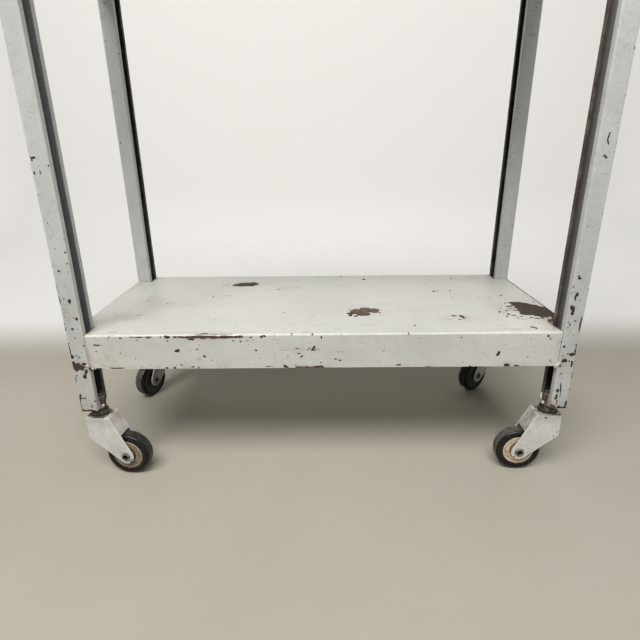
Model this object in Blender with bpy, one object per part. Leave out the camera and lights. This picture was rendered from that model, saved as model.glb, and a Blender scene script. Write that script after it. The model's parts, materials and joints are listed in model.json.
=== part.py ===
"""Two-shelf steel cart on four swivel casters.

Metres, +Z up, floor at Z = 0, front of the cart towards -Y.
Run with:  blender --background --python part.py
"""
from math import atan2, cos, pi, radians, sin, sqrt

import bmesh
import bpy
from mathutils import Matrix, Vector

# ------------------------------------------------------------ dimensions
# Frame
CART_X = 0.0094            # middle of the frame, so the whole outline is centred
HALF_WIDTH = 0.400         # over the outer faces of the legs
HALF_DEPTH = 0.176         # over the front and rear faces of the legs
SHELF_GAUGE = 0.0015       # sheet of both shelves
APRON = 0.0575             # height of the turned-down shelf edges
FOLD_R = 0.0025            # outside radius of the shelf folds
LOWER_TOP = 0.262          # top of the lower shelf
UPPER_TOP = 0.864          # top of the upper shelf

# Legs: channels with turned-in lips, open towards the middle of the cart
LEG_X = 0.027              # flange width
LEG_Y = 0.040              # web width
LEG_GAUGE = 0.002
LEG_LIP = 0.0095           # depth of the turned-in lips
LEG_R = 0.0025             # outside bend radius
LEG_BOTTOM = 0.1272
TOUCH = 0.0003             # clearance kept between touching pieces
SEAM = 0.0016              # seam between a leg and the notched lower shelf

# Casters
SWIVEL_X = 0.379           # swivel axis from the middle of the frame
SWIVEL_Y = 0.156
CROWN_TOP = 0.1125
WHEEL_R = 0.0381
AXLE_OFFSET = 0.0423
FORK_HALF = 0.0165         # half the outer width of the fork
FORK_GAUGE = 0.0025
FORK_FRONT = -0.0179
FORK_REAR = 0.0224
FORK_WEB_END = 0.0383
FORK_HEEL = -0.0395        # depth of the upright front edge of each ear
FORK_END_R = 0.0135
STEM_R = 0.0055
AXLE_R = 0.0048
BUSH_R = 0.0070

# Where each caster stands and the way it trails, degrees from +X
CASTERS = {
    "front_left": (-1, -1, -7.1),
    "front_right": (1, -1, 178.6),
    "rear_left": (-1, 1, -114.1),
    "rear_right": (1, 1, -143.8),
}

# ------------------------------------------------------------ clean scene
for old in list(bpy.data.objects):
    bpy.data.objects.remove(old, do_unlink=True)
for old in list(bpy.data.meshes):
    bpy.data.meshes.remove(old)
for old in list(bpy.data.materials):
    bpy.data.materials.remove(old)

SCENE = bpy.context.scene.collection


# ------------------------------------------------------------ helpers
def material(name, colour, roughness, metallic):
    """A plain Principled material."""
    mat = bpy.data.materials.new(name)
    mat.use_nodes = True
    bsdf = next(n for n in mat.node_tree.nodes if n.type == "BSDF_PRINCIPLED")
    bsdf.inputs["Base Color"].default_value = (*colour, 1.0)
    bsdf.inputs["Roughness"].default_value = roughness
    bsdf.inputs["Metallic"].default_value = metallic
    mat.diffuse_color = (*colour, 1.0)
    return mat


def mesh_from(bm, name, smooth_angle=None):
    """Turn a bmesh into a mesh with its faces pointing out."""
    bmesh.ops.recalc_face_normals(bm, faces=bm.faces)
    mesh = bpy.data.meshes.new(name)
    bm.to_mesh(mesh)
    bm.free()
    if smooth_angle is not None:
        mesh.shade_smooth()
        mesh.set_sharp_from_angle(angle=radians(smooth_angle))
    return mesh


def place(name, mesh, mat, parent=None, location=(0, 0, 0), rotation=(0, 0, 0)):
    """Put a mesh in the scene as its own object."""
    obj = bpy.data.objects.new(name, mesh)
    obj.location = location
    obj.rotation_euler = rotation
    if parent is not None:
        obj.parent = parent
    SCENE.objects.link(obj)
    if not obj.data.materials:
        obj.data.materials.append(mat)
    return obj


def empty(name, location, rotation=(0, 0, 0), parent=None):
    """An axis marker that moving pieces hang from."""
    obj = bpy.data.objects.new(name, None)
    obj.empty_display_size = 0.03
    obj.location = location
    obj.rotation_euler = rotation
    if parent is not None:
        obj.parent = parent
    SCENE.objects.link(obj)
    return obj


def arc(cx, cy, r, start, end, steps):
    """Points on an arc, angles in degrees, both ends included."""
    out = []
    for k in range(steps + 1):
        a = radians(start + (end - start) * k / steps)
        out.append((cx + r * cos(a), cy + r * sin(a)))
    return out


def prism(outline, z0, z1, name, smooth_angle=None):
    """Extrude a closed XY outline from z0 to z1."""
    bm = bmesh.new()
    verts = [bm.verts.new((x, y, z0)) for x, y in outline]
    face = bm.faces.new(verts)
    made = bmesh.ops.extrude_face_region(bm, geom=[face])
    moved = [g for g in made["geom"] if isinstance(g, bmesh.types.BMVert)]
    bmesh.ops.translate(bm, verts=moved, vec=(0, 0, z1 - z0))
    return mesh_from(bm, name, smooth_angle)


def turned(profile, steps, name, smooth_angle=40):
    """Spin a closed (radius, z) profile round Z."""
    bm = bmesh.new()
    verts = [bm.verts.new((r, 0, z)) for r, z in profile]
    edges = [bm.edges.new((verts[i], verts[(i + 1) % len(verts)])) for i in range(len(verts))]
    bmesh.ops.spin(
        bm,
        geom=verts + edges,
        cent=(0, 0, 0),
        axis=(0, 0, 1),
        dvec=(0, 0, 0),
        angle=2 * pi,
        steps=steps,
        use_merge=True,
        use_duplicate=False,
    )
    bmesh.ops.remove_doubles(bm, verts=bm.verts, dist=1e-6)
    return mesh_from(bm, name, smooth_angle)


def turned_solid(profile, steps, name, smooth_angle=40):
    """Spin an open (radius, z) profile whose two ends lie on the axis."""
    bm = bmesh.new()
    rings = []
    for r, z in profile:
        if r == 0:
            rings.append([bm.verts.new((0, 0, z))])
        else:
            rings.append(
                [bm.verts.new((r * cos(2 * pi * k / steps), r * sin(2 * pi * k / steps), z)) for k in range(steps)]
            )
    for a, b in zip(rings, rings[1:]):
        for k in range(steps):
            n = (k + 1) % steps
            if len(a) == 1:
                bm.faces.new((a[0], b[k], b[n]))
            elif len(b) == 1:
                bm.faces.new((a[k], a[n], b[0]))
            else:
                bm.faces.new((a[k], a[n], b[n], b[k]))
    return mesh_from(bm, name, smooth_angle)


def settled(obj, name, smooth_angle=None):
    """The mesh of an object with its modifiers worked in; the object goes."""
    bpy.context.view_layer.update()
    graph = bpy.context.evaluated_depsgraph_get()
    mesh = bpy.data.meshes.new_from_object(obj.evaluated_get(graph))
    mesh.name = name
    bpy.data.objects.remove(obj, do_unlink=True)
    if smooth_angle is not None:
        mesh.shade_smooth()
        mesh.set_sharp_from_angle(angle=radians(smooth_angle))
    return mesh


def drum(radius, z0, z1, steps):
    """A plain round bar along Z, used to cut holes."""
    return prism([(radius * cos(2 * pi * k / steps), radius * sin(2 * pi * k / steps)) for k in range(steps)], z0, z1, "cutter")


def cut(obj, mesh, matrix):
    """Add a Boolean that takes a shape out of obj; returns the cutter."""
    tool = bpy.data.objects.new("cutter", mesh)
    tool.matrix_world = matrix
    tool.hide_render = True
    tool.display_type = "WIRE"
    SCENE.objects.link(tool)
    mod = obj.modifiers.new("hole", "BOOLEAN")
    mod.operation = "DIFFERENCE"
    mod.solver = "EXACT"
    mod.object = tool
    return tool


# ------------------------------------------------------------ materials
PAINT = material("grey_enamel", (0.56, 0.56, 0.53), 0.45, 0.0)
LEG_PAINT = material("leg_enamel", (0.50, 0.51, 0.50), 0.45, 0.0)
FORK_PAINT = material("fork_enamel", (0.55, 0.54, 0.53), 0.45, 0.1)
SOCKET_PAINT = material("socket_enamel", (0.42, 0.38, 0.33), 0.6, 0.1)
GREASY = material("greasy_steel", (0.06, 0.055, 0.05), 0.5, 0.7)
STEEL = material("worn_steel", (0.22, 0.20, 0.18), 0.4, 0.9)
RUBBER = material("black_rubber", (0.03, 0.03, 0.03), 0.75, 0.0)
HUB = material("cream_hub", (0.52, 0.42, 0.30), 0.6, 0.0)


# ------------------------------------------------------------ legs
def leg_outline():
    """Section of one leg: u runs from the outer face inwards, v across the web."""
    w, d, t, lip, r = LEG_X, LEG_Y, LEG_GAUGE, LEG_LIP, LEG_R
    ri = r - t
    pts = [(w, lip)]
    pts += arc(w - r, r, r, 0, -90, 4)             # near lip into near flange
    pts += arc(r, r, r, 270, 180, 4)               # near flange into web
    pts += arc(r, d - r, r, 180, 90, 4)            # web into far flange
    pts += arc(w - r, d - r, r, 90, 0, 4)          # far flange into far lip
    pts += [(w, d - lip), (w - t, d - lip)]
    pts += arc(w - r, d - r, ri, 0, 90, 2)
    pts += arc(r, d - r, ri, 90, 180, 2)
    pts += arc(r, r, ri, 180, 270, 2)
    pts += arc(w - r, r, ri, 270, 360, 2)
    pts += [(w - t, lip)]
    return pts


def mirrored(outline, sx, sy):
    """Section coordinates to world: sx, sy say which corner it stands at."""
    out = []
    for u, v in outline:
        x = CART_X + sx * (HALF_WIDTH - u)
        y = sy * (HALF_DEPTH - v)
        out.append((x, y))
    return out


LEG_TOP = UPPER_TOP - SHELF_GAUGE - 0.0007      # clear of the fold inside the upper shelf
for place_name, (sx, sy, _) in CASTERS.items():
    outline = mirrored(leg_outline(), sx, sy)
    cx = CART_X + sx * (HALF_WIDTH - LEG_X / 2)
    cy = sy * (HALF_DEPTH - LEG_Y / 2)
    local = [(x - cx, y - cy) for x, y in outline]
    mesh = prism(local, 0, LEG_TOP - LEG_BOTTOM, "leg_" + place_name, 30)
    place("leg_" + place_name, mesh, LEG_PAINT, location=(cx, cy, LEG_BOTTOM))


# ------------------------------------------------------------ lower shelf
def fold_drop(r, steps):
    """(outward, down) steps round a fold, from the flat top to the upright face."""
    return [(r * sin(radians(90 * k / steps)), r * (1 - cos(radians(90 * k / steps)))) for k in range(steps + 1)]


def lower_shelf():
    """Sheet pan whose corners are notched round the legs, then given its gauge."""
    fx, fy = HALF_WIDTH, HALF_DEPTH + 0.0005
    nx = HALF_WIDTH - LEG_X - SEAM           # notch side, next to the leg's lips
    ny = HALF_DEPTH - LEG_Y - 0.001          # notch back, behind the leg
    r = FOLD_R
    steps = fold_drop(r, 3)
    bm = bmesh.new()

    def edge_rows(a, b, out):
        """Rows of points down one apron, from the top fold to the lower edge."""
        rows = []
        for o, dn in steps:
            rows.append([(p[0] + out[0] * (o - r), p[1] + out[1] * (o - r), -dn) for p in (a, b)])
        rows.append([(p[0], p[1], -APRON) for p in (a, b)])
        return [[bm.verts.new(p) for p in row] for row in rows]

    front = edge_rows((-nx, -fy), (nx, -fy), (0, -1))
    right = edge_rows((fx, -ny), (fx, ny), (1, 0))
    back = edge_rows((nx, fy), (-nx, fy), (0, 1))
    left = edge_rows((-fx, ny), (-fx, -ny), (-1, 0))
    inner = [bm.verts.new((sx * nx, sy * ny, 0)) for sx, sy in ((1, -1), (1, 1), (-1, 1), (-1, -1))]
    top = [front[0][0], front[0][1], inner[0], right[0][0], right[0][1], inner[1]]
    top += [back[0][0], back[0][1], inner[2], left[0][0], left[0][1], inner[3]]
    bm.faces.new(top)
    for rows in (front, right, back, left):
        for a, b in zip(rows, rows[1:]):
            bm.faces.new((a[0], b[0], b[1], a[1]))
    return mesh_from(bm, "lower_shelf")


def upper_shelf():
    """Sheet pan that caps the four legs, rounded at its corners."""
    hx = HALF_WIDTH + TOUCH + SHELF_GAUGE
    hy = HALF_DEPTH + TOUCH + SHELF_GAUGE
    rc = 0.004
    bm = bmesh.new()
    rings = []
    levels = [(o - FOLD_R, -dn) for o, dn in fold_drop(FOLD_R, 3)] + [(0.0, -APRON)]
    for grow, z in levels:
        ring = []
        for cx, cy, start in ((hx - rc, hy - rc, 0), (-hx + rc, hy - rc, 90), (-hx + rc, -hy + rc, 180), (hx - rc, -hy + rc, 270)):
            for x, y in arc(cx, cy, rc + grow, start, start + 90, 3):
                ring.append(bm.verts.new((x, y, z)))
        rings.append(ring)
    bm.faces.new(rings[0])
    for a, b in zip(rings, rings[1:]):
        for k in range(len(a)):
            n = (k + 1) % len(a)
            bm.faces.new((a[k], b[k], b[n], a[n]))
    return mesh_from(bm, "upper_shelf")


def gauge(name, mesh, top):
    """Give a sheet its thickness, inwards from the outer face."""
    up = max(mesh.polygons, key=lambda f: f.area)
    if up.normal.z < 0:
        mesh.flip_normals()
    obj = place(name, mesh, PAINT)
    mod = obj.modifiers.new("gauge", "SOLIDIFY")
    mod.thickness = SHELF_GAUGE
    mod.offset = -1
    mod.use_even_offset = True
    done = settled(obj, name, 40)
    return place(name, done, PAINT, location=(CART_X, 0, top))


gauge("lower_shelf", lower_shelf(), LOWER_TOP)
gauge("upper_shelf", upper_shelf(), UPPER_TOP)


# ------------------------------------------------------------ caster pieces
AXLE_DROP = WHEEL_R - CROWN_TOP        # axle below the top of the crown


def tangent(px, pz, cx, cz, r, side):
    """Where a line from (px, pz) touches a circle; side +1 or -1."""
    dx, dz = cx - px, cz - pz
    d = sqrt(dx * dx + dz * dz)
    along = atan2(dz, dx)
    lean = side * atan2(r, sqrt(d * d - r * r))
    reach = sqrt(d * d - r * r)
    return (px + reach * cos(along + lean), pz + reach * sin(along + lean))


def fork_mesh():
    """Folded fork: flat crown, two ears and a sloping web over the wheel."""
    cx, cz, r = AXLE_OFFSET, AXLE_DROP, FORK_END_R
    t1 = tangent(FORK_REAR, 0, cx, cz, r, 1)
    t2 = tangent(FORK_FRONT, FORK_HEEL, cx, cz, r, -1)
    a1 = atan2(t1[1] - cz, t1[0] - cx)
    a2 = atan2(t2[1] - cz, t2[0] - cx)
    while a2 > a1:
        a2 -= 2 * pi
    end = [(cx + r * cos(a1 + (a2 - a1) * k / 10), cz + r * sin(a1 + (a2 - a1) * k / 10)) for k in range(11)]
    slope = Vector((t1[0] - FORK_REAR, t1[1])).normalized()
    reach = (FORK_WEB_END - FORK_REAR) / slope.x
    web_out = (FORK_WEB_END, slope.y * reach)
    down = Vector((slope.y, -slope.x))               # square to the slope, into the fork
    g = FORK_GAUGE
    web_in = (web_out[0] + down.x * g, web_out[1] + down.y * g)
    # inside corner of the crown and the web
    k = (-g - down.y * g) / slope.y
    corner = (FORK_REAR + down.x * g + slope.x * k, -g)

    outer = [(FORK_FRONT, 0), (FORK_REAR, 0), web_out] + end + [(FORK_FRONT, FORK_HEEL)]
    strip = [(FORK_FRONT, 0), (FORK_REAR, 0), web_out, web_in, corner, (FORK_FRONT, -g)]
    rest = [web_out] + end + [(FORK_FRONT, FORK_HEEL), (FORK_FRONT, -g), corner, web_in]

    bm = bmesh.new()
    wide, narrow = FORK_HALF, FORK_HALF - g

    def row(points, y):
        return [bm.verts.new((x, y, z)) for x, z in points]

    n = len(outer)
    rings = {}
    for y in (-wide, -narrow, narrow, wide):
        rings[y] = dict(zip(outer, row(outer, y)))
    for y in (-narrow, narrow):
        for p in (web_in, corner, (FORK_FRONT, -g)):
            if p not in rings[y]:
                rings[y][p] = bm.verts.new((p[0], y, p[1]))
    # outer faces of the ears
    for y in (-wide, wide):
        bm.faces.new([rings[y][p] for p in outer])
    # edges of the ears
    for y0, y1 in ((-wide, -narrow), (narrow, wide)):
        for i in range(n):
            p, q = outer[i], outer[(i + 1) % n]
            y_in = y0 if abs(y0) == narrow else y1
            y_out = y1 if y_in == y0 else y0
            if p == (FORK_FRONT, FORK_HEEL) and q == (FORK_FRONT, 0):
                mid = (FORK_FRONT, -g)
                bm.faces.new([rings[y_out][p], rings[y_out][q], rings[y_in][q], rings[y_in][mid], rings[y_in][p]])
            else:
                bm.faces.new([rings[y0][p], rings[y0][q], rings[y1][q], rings[y1][p]])
    # inner faces of the ears, below the crown and the web
    for y in (-narrow, narrow):
        bm.faces.new([rings[y][p] for p in rest])
    # crown and web between the ears
    m = len(strip)
    for i in range(m):
        p, q = strip[i], strip[(i + 1) % m]
        bm.faces.new([rings[-narrow][p], rings[-narrow][q], rings[narrow][q], rings[narrow][p]])
    mesh = mesh_from(bm, "fork_blank")
    blank = place("fork_blank", mesh, FORK_PAINT)
    tools = [
        cut(blank, drum(AXLE_R + TOUCH, -0.03, 0.03, 16), Matrix.Translation((cx, 0, cz)) @ Matrix.Rotation(pi / 2, 4, "X")),
        cut(blank, drum(STEM_R + TOUCH + 0.0003, -0.01, 0.01, 16), Matrix.Identity(4)),
    ]
    done = settled(blank, "caster_fork")
    for tool in tools:
        bpy.data.objects.remove(tool, do_unlink=True)
    return done


def socket_mesh(sx, sy):
    """Block that fills the foot of a leg and takes the caster's stem."""
    w, d, t, lip = LEG_X, LEG_Y, LEG_GAUGE, LEG_LIP
    c = TOUCH
    su, sv = HALF_WIDTH - SWIVEL_X, HALF_DEPTH - SWIVEL_Y      # stem in section coordinates
    half = d / 2 - lip - c                                     # half the nose, between the lips
    nose = 0.012
    reach = sqrt(nose * nose - half * half)
    ang = atan2(half, reach) * 180 / pi
    pts = [(t + c, t + c), (w - t - c, t + c), (w - t - c, sv - half), (su + reach, sv - half)]
    pts += arc(su, sv, nose, -ang, ang, 8)[1:-1]
    pts += [(su + reach, sv + half), (w - t - c, sv + half), (w - t - c, d - t - c), (t + c, d - t - c)]
    # cut the two inner corners clear of the bends of the channel
    k = 0.0012
    pts = [(t + c + k, t + c), (w - t - c - k, t + c), (w - t - c, t + c + k)] + pts[2:-2] + [
        (w - t - c, d - t - c - k), (w - t - c - k, d - t - c), (t + c + k, d - t - c), (t + c, d - t - c - k), (t + c, t + c + k)]
    local = [(sx * (su - u), sy * (sv - v)) for u, v in pts]
    blank = place("socket_blank", prism(local, 0, SOCKET_HIGH, "socket"), SOCKET_PAINT)
    tool = cut(blank, drum(STEM_R + TOUCH, -0.01, SOCKET_HIGH + 0.01, 16), Matrix.Identity(4))
    done = settled(blank, "stem_socket")
    bpy.data.objects.remove(tool, do_unlink=True)
    return done


SOCKET_HIGH = 0.020
SOCKET_BOTTOM = LEG_BOTTOM - 0.0003

MM = 0.001
STEM = turned_solid(
    [(0, -7.4 * MM), (6.6 * MM, -7.4 * MM), (8.4 * MM, -6.4 * MM), (8.8 * MM, -4.9 * MM), (5.5 * MM, -4.9 * MM),
     (5.5 * MM, 10.8 * MM), (9.0 * MM, 10.8 * MM), (9.0 * MM, 13.9 * MM), (5.5 * MM, 13.9 * MM), (5.5 * MM, 31.5 * MM),
     (4.4 * MM, 33.0 * MM), (0, 33.0 * MM)], 12, "caster_stem")
TOP_RACE = turned(
    [(5.8 * MM, 6.4 * MM), (12.4 * MM, 6.4 * MM), (12.9 * MM, 3.2 * MM), (14.2 * MM, 3.2 * MM), (14.0 * MM, 7.4 * MM),
     (11.0 * MM, 10.4 * MM), (5.8 * MM, 10.4 * MM)], 16, "top_race")
BALL_RING = turned(
    [(8.6 * MM, 4.9 * MM), (9.5 * MM, 3.9 * MM), (11.3 * MM, 3.9 * MM), (12.0 * MM, 4.9 * MM), (11.3 * MM, 6.0 * MM),
     (9.5 * MM, 6.0 * MM)], 16, "ball_ring")
CROWN_RACE = turned(
    [(6.1 * MM, 0.3 * MM), (16.2 * MM, 0.3 * MM), (16.2 * MM, 1.3 * MM), (12.6 * MM, 2.3 * MM), (9.2 * MM, 3.3 * MM),
     (8.0 * MM, 3.9 * MM), (6.1 * MM, 3.9 * MM)], 18, "crown_race")
LOWER_WASHER = turned(
    [(6.1 * MM, -4.6 * MM), (10.6 * MM, -4.6 * MM), (10.6 * MM, -2.8 * MM), (6.1 * MM, -2.8 * MM)], 12, "lower_washer")

# Axle: hollow rivet with rolled ends, along its own Z
EAR_OUT = FORK_HALF + TOUCH
AXLE = turned(
    [(3.6 * MM, -EAR_OUT - 1.9 * MM), (4.8 * MM, -EAR_OUT - 2.2 * MM), (6.4 * MM, -EAR_OUT - 1.6 * MM), (7.0 * MM, -EAR_OUT - 0.1 * MM),
     (4.8 * MM, -EAR_OUT), (4.8 * MM, EAR_OUT), (7.0 * MM, EAR_OUT + 0.1 * MM), (6.4 * MM, EAR_OUT + 1.6 * MM),
     (4.8 * MM, EAR_OUT + 2.2 * MM), (3.6 * MM, EAR_OUT + 1.9 * MM)], 12, "axle_rivet")
EAR_IN = FORK_HALF - FORK_GAUGE
BUSH = turned(
    [(5.1 * MM, -(EAR_IN - TOUCH)), (BUSH_R, -(EAR_IN - TOUCH)), (BUSH_R, EAR_IN - TOUCH), (5.1 * MM, EAR_IN - TOUCH)], 12, "axle_bush")
HUB_SHAPE = turned(
    [(7.35 * MM, -13.2 * MM), (9.8 * MM, -13.2 * MM), (10.4 * MM, -7.6 * MM), (14.2 * MM, -7.6 * MM), (15.4 * MM, -10.2 * MM),
     (25.0 * MM, -10.8 * MM), (25.7 * MM, -10.2 * MM), (25.7 * MM, 10.2 * MM), (25.0 * MM, 10.8 * MM), (15.4 * MM, 10.2 * MM),
     (14.2 * MM, 7.6 * MM), (10.4 * MM, 7.6 * MM), (9.8 * MM, 13.2 * MM), (7.35 * MM, 13.2 * MM)], 24, "wheel_hub")
TYRE = turned(
    [(26.05 * MM, -10.4 * MM), (30.0 * MM, -11.2 * MM), (34.0 * MM, -10.9 * MM), (36.9 * MM, -9.0 * MM), (38.1 * MM, -6.0 * MM),
     (38.1 * MM, 6.0 * MM), (36.9 * MM, 9.0 * MM), (34.0 * MM, 10.9 * MM), (30.0 * MM, 11.2 * MM), (26.05 * MM, 10.4 * MM)], 32, "tyre")
FORK = fork_mesh()

for where, (sx, sy, trail) in CASTERS.items():
    x, y = CART_X + sx * SWIVEL_X, sy * SWIVEL_Y
    # pieces that stay with the leg
    place("stem_socket_" + where, socket_mesh(sx, sy), SOCKET_PAINT, location=(x, y, SOCKET_BOTTOM))
    place("caster_stem_" + where, STEM, STEEL, location=(x, y, CROWN_TOP))
    place("top_race_" + where, TOP_RACE, GREASY, location=(x, y, CROWN_TOP))
    # pieces that swivel
    swivel = empty("swivel_axis_" + where, (x, y, CROWN_TOP), (0, 0, radians(trail)))
    place("fork_" + where, FORK, FORK_PAINT, swivel)
    place("crown_race_" + where, CROWN_RACE, GREASY, swivel)
    place("ball_ring_" + where, BALL_RING, GREASY, swivel)
    place("lower_washer_" + where, LOWER_WASHER, STEEL, swivel)
    # the axle line: local Z of this marker runs across the fork
    axle = empty("axle_line_" + where, (AXLE_OFFSET, 0, AXLE_DROP), (-pi / 2, 0, 0), swivel)
    place("axle_rivet_" + where, AXLE, STEEL, axle)
    place("axle_bush_" + where, BUSH, STEEL, axle)
    wheel = empty("wheel_axis_" + where, (0, 0, 0), (0, 0, 0), axle)
    place("wheel_hub_" + where, HUB_SHAPE, HUB, wheel)
    place("tyre_" + where, TYRE, RUBBER, wheel)

bpy.context.view_layer.update()
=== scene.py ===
"""Looks of the steel instrument cart: worn grey enamel sheet, rubber-tyred casters.

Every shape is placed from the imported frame. Lengths marked mm are millimetres from
the middle of the cart across, from the middle in depth, and from the floor up.
"""
import json
from math import atan2, cos, exp, pi, radians, sin, sqrt

import bmesh
import bpy
import numpy as np
from mathutils import Matrix, Vector
from mathutils.kdtree import KDTree


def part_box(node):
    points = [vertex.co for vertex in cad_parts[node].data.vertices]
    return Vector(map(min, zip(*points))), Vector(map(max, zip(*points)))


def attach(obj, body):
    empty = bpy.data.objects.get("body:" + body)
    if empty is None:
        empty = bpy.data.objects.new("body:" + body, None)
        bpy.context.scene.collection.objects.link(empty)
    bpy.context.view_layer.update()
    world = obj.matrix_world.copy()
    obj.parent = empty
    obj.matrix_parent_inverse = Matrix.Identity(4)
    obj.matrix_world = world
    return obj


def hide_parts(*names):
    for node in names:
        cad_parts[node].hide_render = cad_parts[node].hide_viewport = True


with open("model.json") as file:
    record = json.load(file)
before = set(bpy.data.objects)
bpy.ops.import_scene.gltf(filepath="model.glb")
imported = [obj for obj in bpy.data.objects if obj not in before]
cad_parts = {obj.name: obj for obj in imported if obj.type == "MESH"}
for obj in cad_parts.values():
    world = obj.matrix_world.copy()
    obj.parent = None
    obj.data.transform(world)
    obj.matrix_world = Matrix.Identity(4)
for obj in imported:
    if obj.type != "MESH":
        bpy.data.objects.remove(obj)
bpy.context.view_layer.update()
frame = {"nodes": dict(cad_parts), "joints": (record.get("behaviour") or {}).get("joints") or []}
MM = 0.001

LOW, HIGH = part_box("lower_shelf")
CX = (LOW.x + HIGH.x) / 2                 # middle of the cart
SHELF_TOP = HIGH.z
PLACES = ("front_left", "front_right", "rear_left", "rear_right")
SIDE = {"front_left": (-1, -1), "front_right": (1, -1), "rear_left": (-1, 1), "rear_right": (1, 1)}

SWIVEL, TRAIL = {}, {}
for joint in frame["joints"]:
    kind, _, where = joint["name"].partition("_")
    if kind == "swivel":
        SWIVEL[where] = Vector(joint["pos_m"])
for joint in frame["joints"]:
    kind, _, where = joint["name"].partition("_")
    if kind == "roll":
        away = Vector(joint["pos_m"]) - SWIVEL[where]
        TRAIL[where] = (atan2(away.y, away.x), Vector(joint["pos_m"]))


# ------------------------------------------------------------ noise in numpy
def lattice(ix, iy, iz, seed):
    """A repeatable number from -1 to 1 at each whole point."""
    h = (ix.astype(np.uint32) * np.uint32(374761393)) ^ (iy.astype(np.uint32) * np.uint32(668265263))
    h = h ^ (iz.astype(np.uint32) * np.uint32(2246822519)) ^ np.uint32((seed * 3266489917) & 0xFFFFFFFF)
    h = (h ^ (h >> np.uint32(13))) * np.uint32(1274126177)
    h = (h ^ (h >> np.uint32(16))) * np.uint32(2654435761)
    h = h ^ (h >> np.uint32(15))
    return h.astype(np.float64) / 4294967295.0 * 2 - 1


def value_noise(p, size, seed):
    """Smooth noise, -1 to 1, with lumps about size across."""
    q = np.asarray(p, float) / size
    base = np.floor(q).astype(np.int64)
    t = q - base
    t = t * t * (3 - 2 * t)
    out = 0.0
    for dx in (0, 1):
        wx = t[:, 0] if dx else 1 - t[:, 0]
        for dy in (0, 1):
            wy = t[:, 1] if dy else 1 - t[:, 1]
            for dz in (0, 1):
                wz = t[:, 2] if dz else 1 - t[:, 2]
                out = out + wx * wy * wz * lattice(base[:, 0] + dx, base[:, 1] + dy, base[:, 2] + dz, seed)
    return out


def fbm(p, size, seed, octaves=3):
    total, weight, out = 0.0, 1.0, 0.0
    for k in range(octaves):
        out = out + weight * value_noise(p, size / 2 ** k, seed + 17 * k)
        total += weight
        weight *= 0.55
    return out / total * 1.6


# ------------------------------------------------------------ painted wear
def chip_field(q, chips, seed):
    """Depth inside the nearest chip in mm (negative outside) and how brown it is.

    q holds two coordinates in mm on an unrolled face. Each chip is
    (along, across, width, height, brown, turn in degrees)."""
    depth = np.full(len(q), -8.0)
    brown = np.zeros(len(q))
    p = np.column_stack([q, np.zeros(len(q))])
    fine = fbm(p, 2.6, seed, 3)
    broad = fbm(p, 9.0, seed + 7, 2)
    for chip in chips:
        x, y, w, h, rust = chip[:5]
        turn = radians(chip[5]) if len(chip) > 5 else 0.0
        reach = max(w, h) / 2 + 9
        near = np.nonzero((np.abs(q[:, 0] - x) < reach) & (np.abs(q[:, 1] - y) < reach))[0]
        if not len(near):
            continue
        dx, dy = q[near, 0] - x, q[near, 1] - y
        a = dx * cos(turn) + dy * sin(turn)
        b = -dx * sin(turn) + dy * cos(turn)
        if h > w:
            a, b = b, a
        r = min(w, h) / 2
        half = abs(w - h) / 2
        off = np.hypot(np.maximum(np.abs(a) - half, 0), b)
        taper = 1 - 0.35 * np.minimum((a / (half + r)) ** 2, 1)
        f = r * taper - off + 0.62 * r ** 0.8 * (0.55 * fine[near] + 0.6 * broad[near])
        take = f > depth[near]
        depth[near[take]] = f[take]
        brown[near[take]] = rust
    return depth, brown


def soft_field(q, spots, seed):
    """Sum of soft stains: (along, across, width, height, strength)."""
    out = np.zeros(len(q))
    p = np.column_stack([q, np.zeros(len(q))])
    cloud = fbm(p, 22.0, seed, 4)
    for x, y, w, h, strength in spots:
        d = ((q[:, 0] - x) / (w / 2)) ** 2 + ((q[:, 1] - y) / (h / 2)) ** 2
        out += strength * np.exp(-d * 1.4) * np.clip(0.75 + 0.8 * cloud, 0, 1.6)
    return np.clip(out, 0, 1)


def scatter(seed, count, u0, u1, v0, v1, small, large, brown=(0.0, 0.6)):
    """Small chips strewn over a face; most are tiny."""
    rng = np.random.default_rng(seed)
    out = []
    for _ in range(count):
        u, v = rng.uniform(u0, u1), rng.uniform(v0, v1)
        s = max(1.35, small + (large - small) * rng.uniform() ** 3)
        long = s * rng.uniform(1.0, 2.2)
        out.append((u, v, long, s, rng.uniform(*brown), rng.uniform(-90, 90)))
    return out


def attribute(mesh, name, values):
    layer = mesh.attributes.get(name) or mesh.attributes.new(name, "FLOAT", "POINT")
    layer.data.foreach_set("value", np.asarray(values, np.float32))


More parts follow.
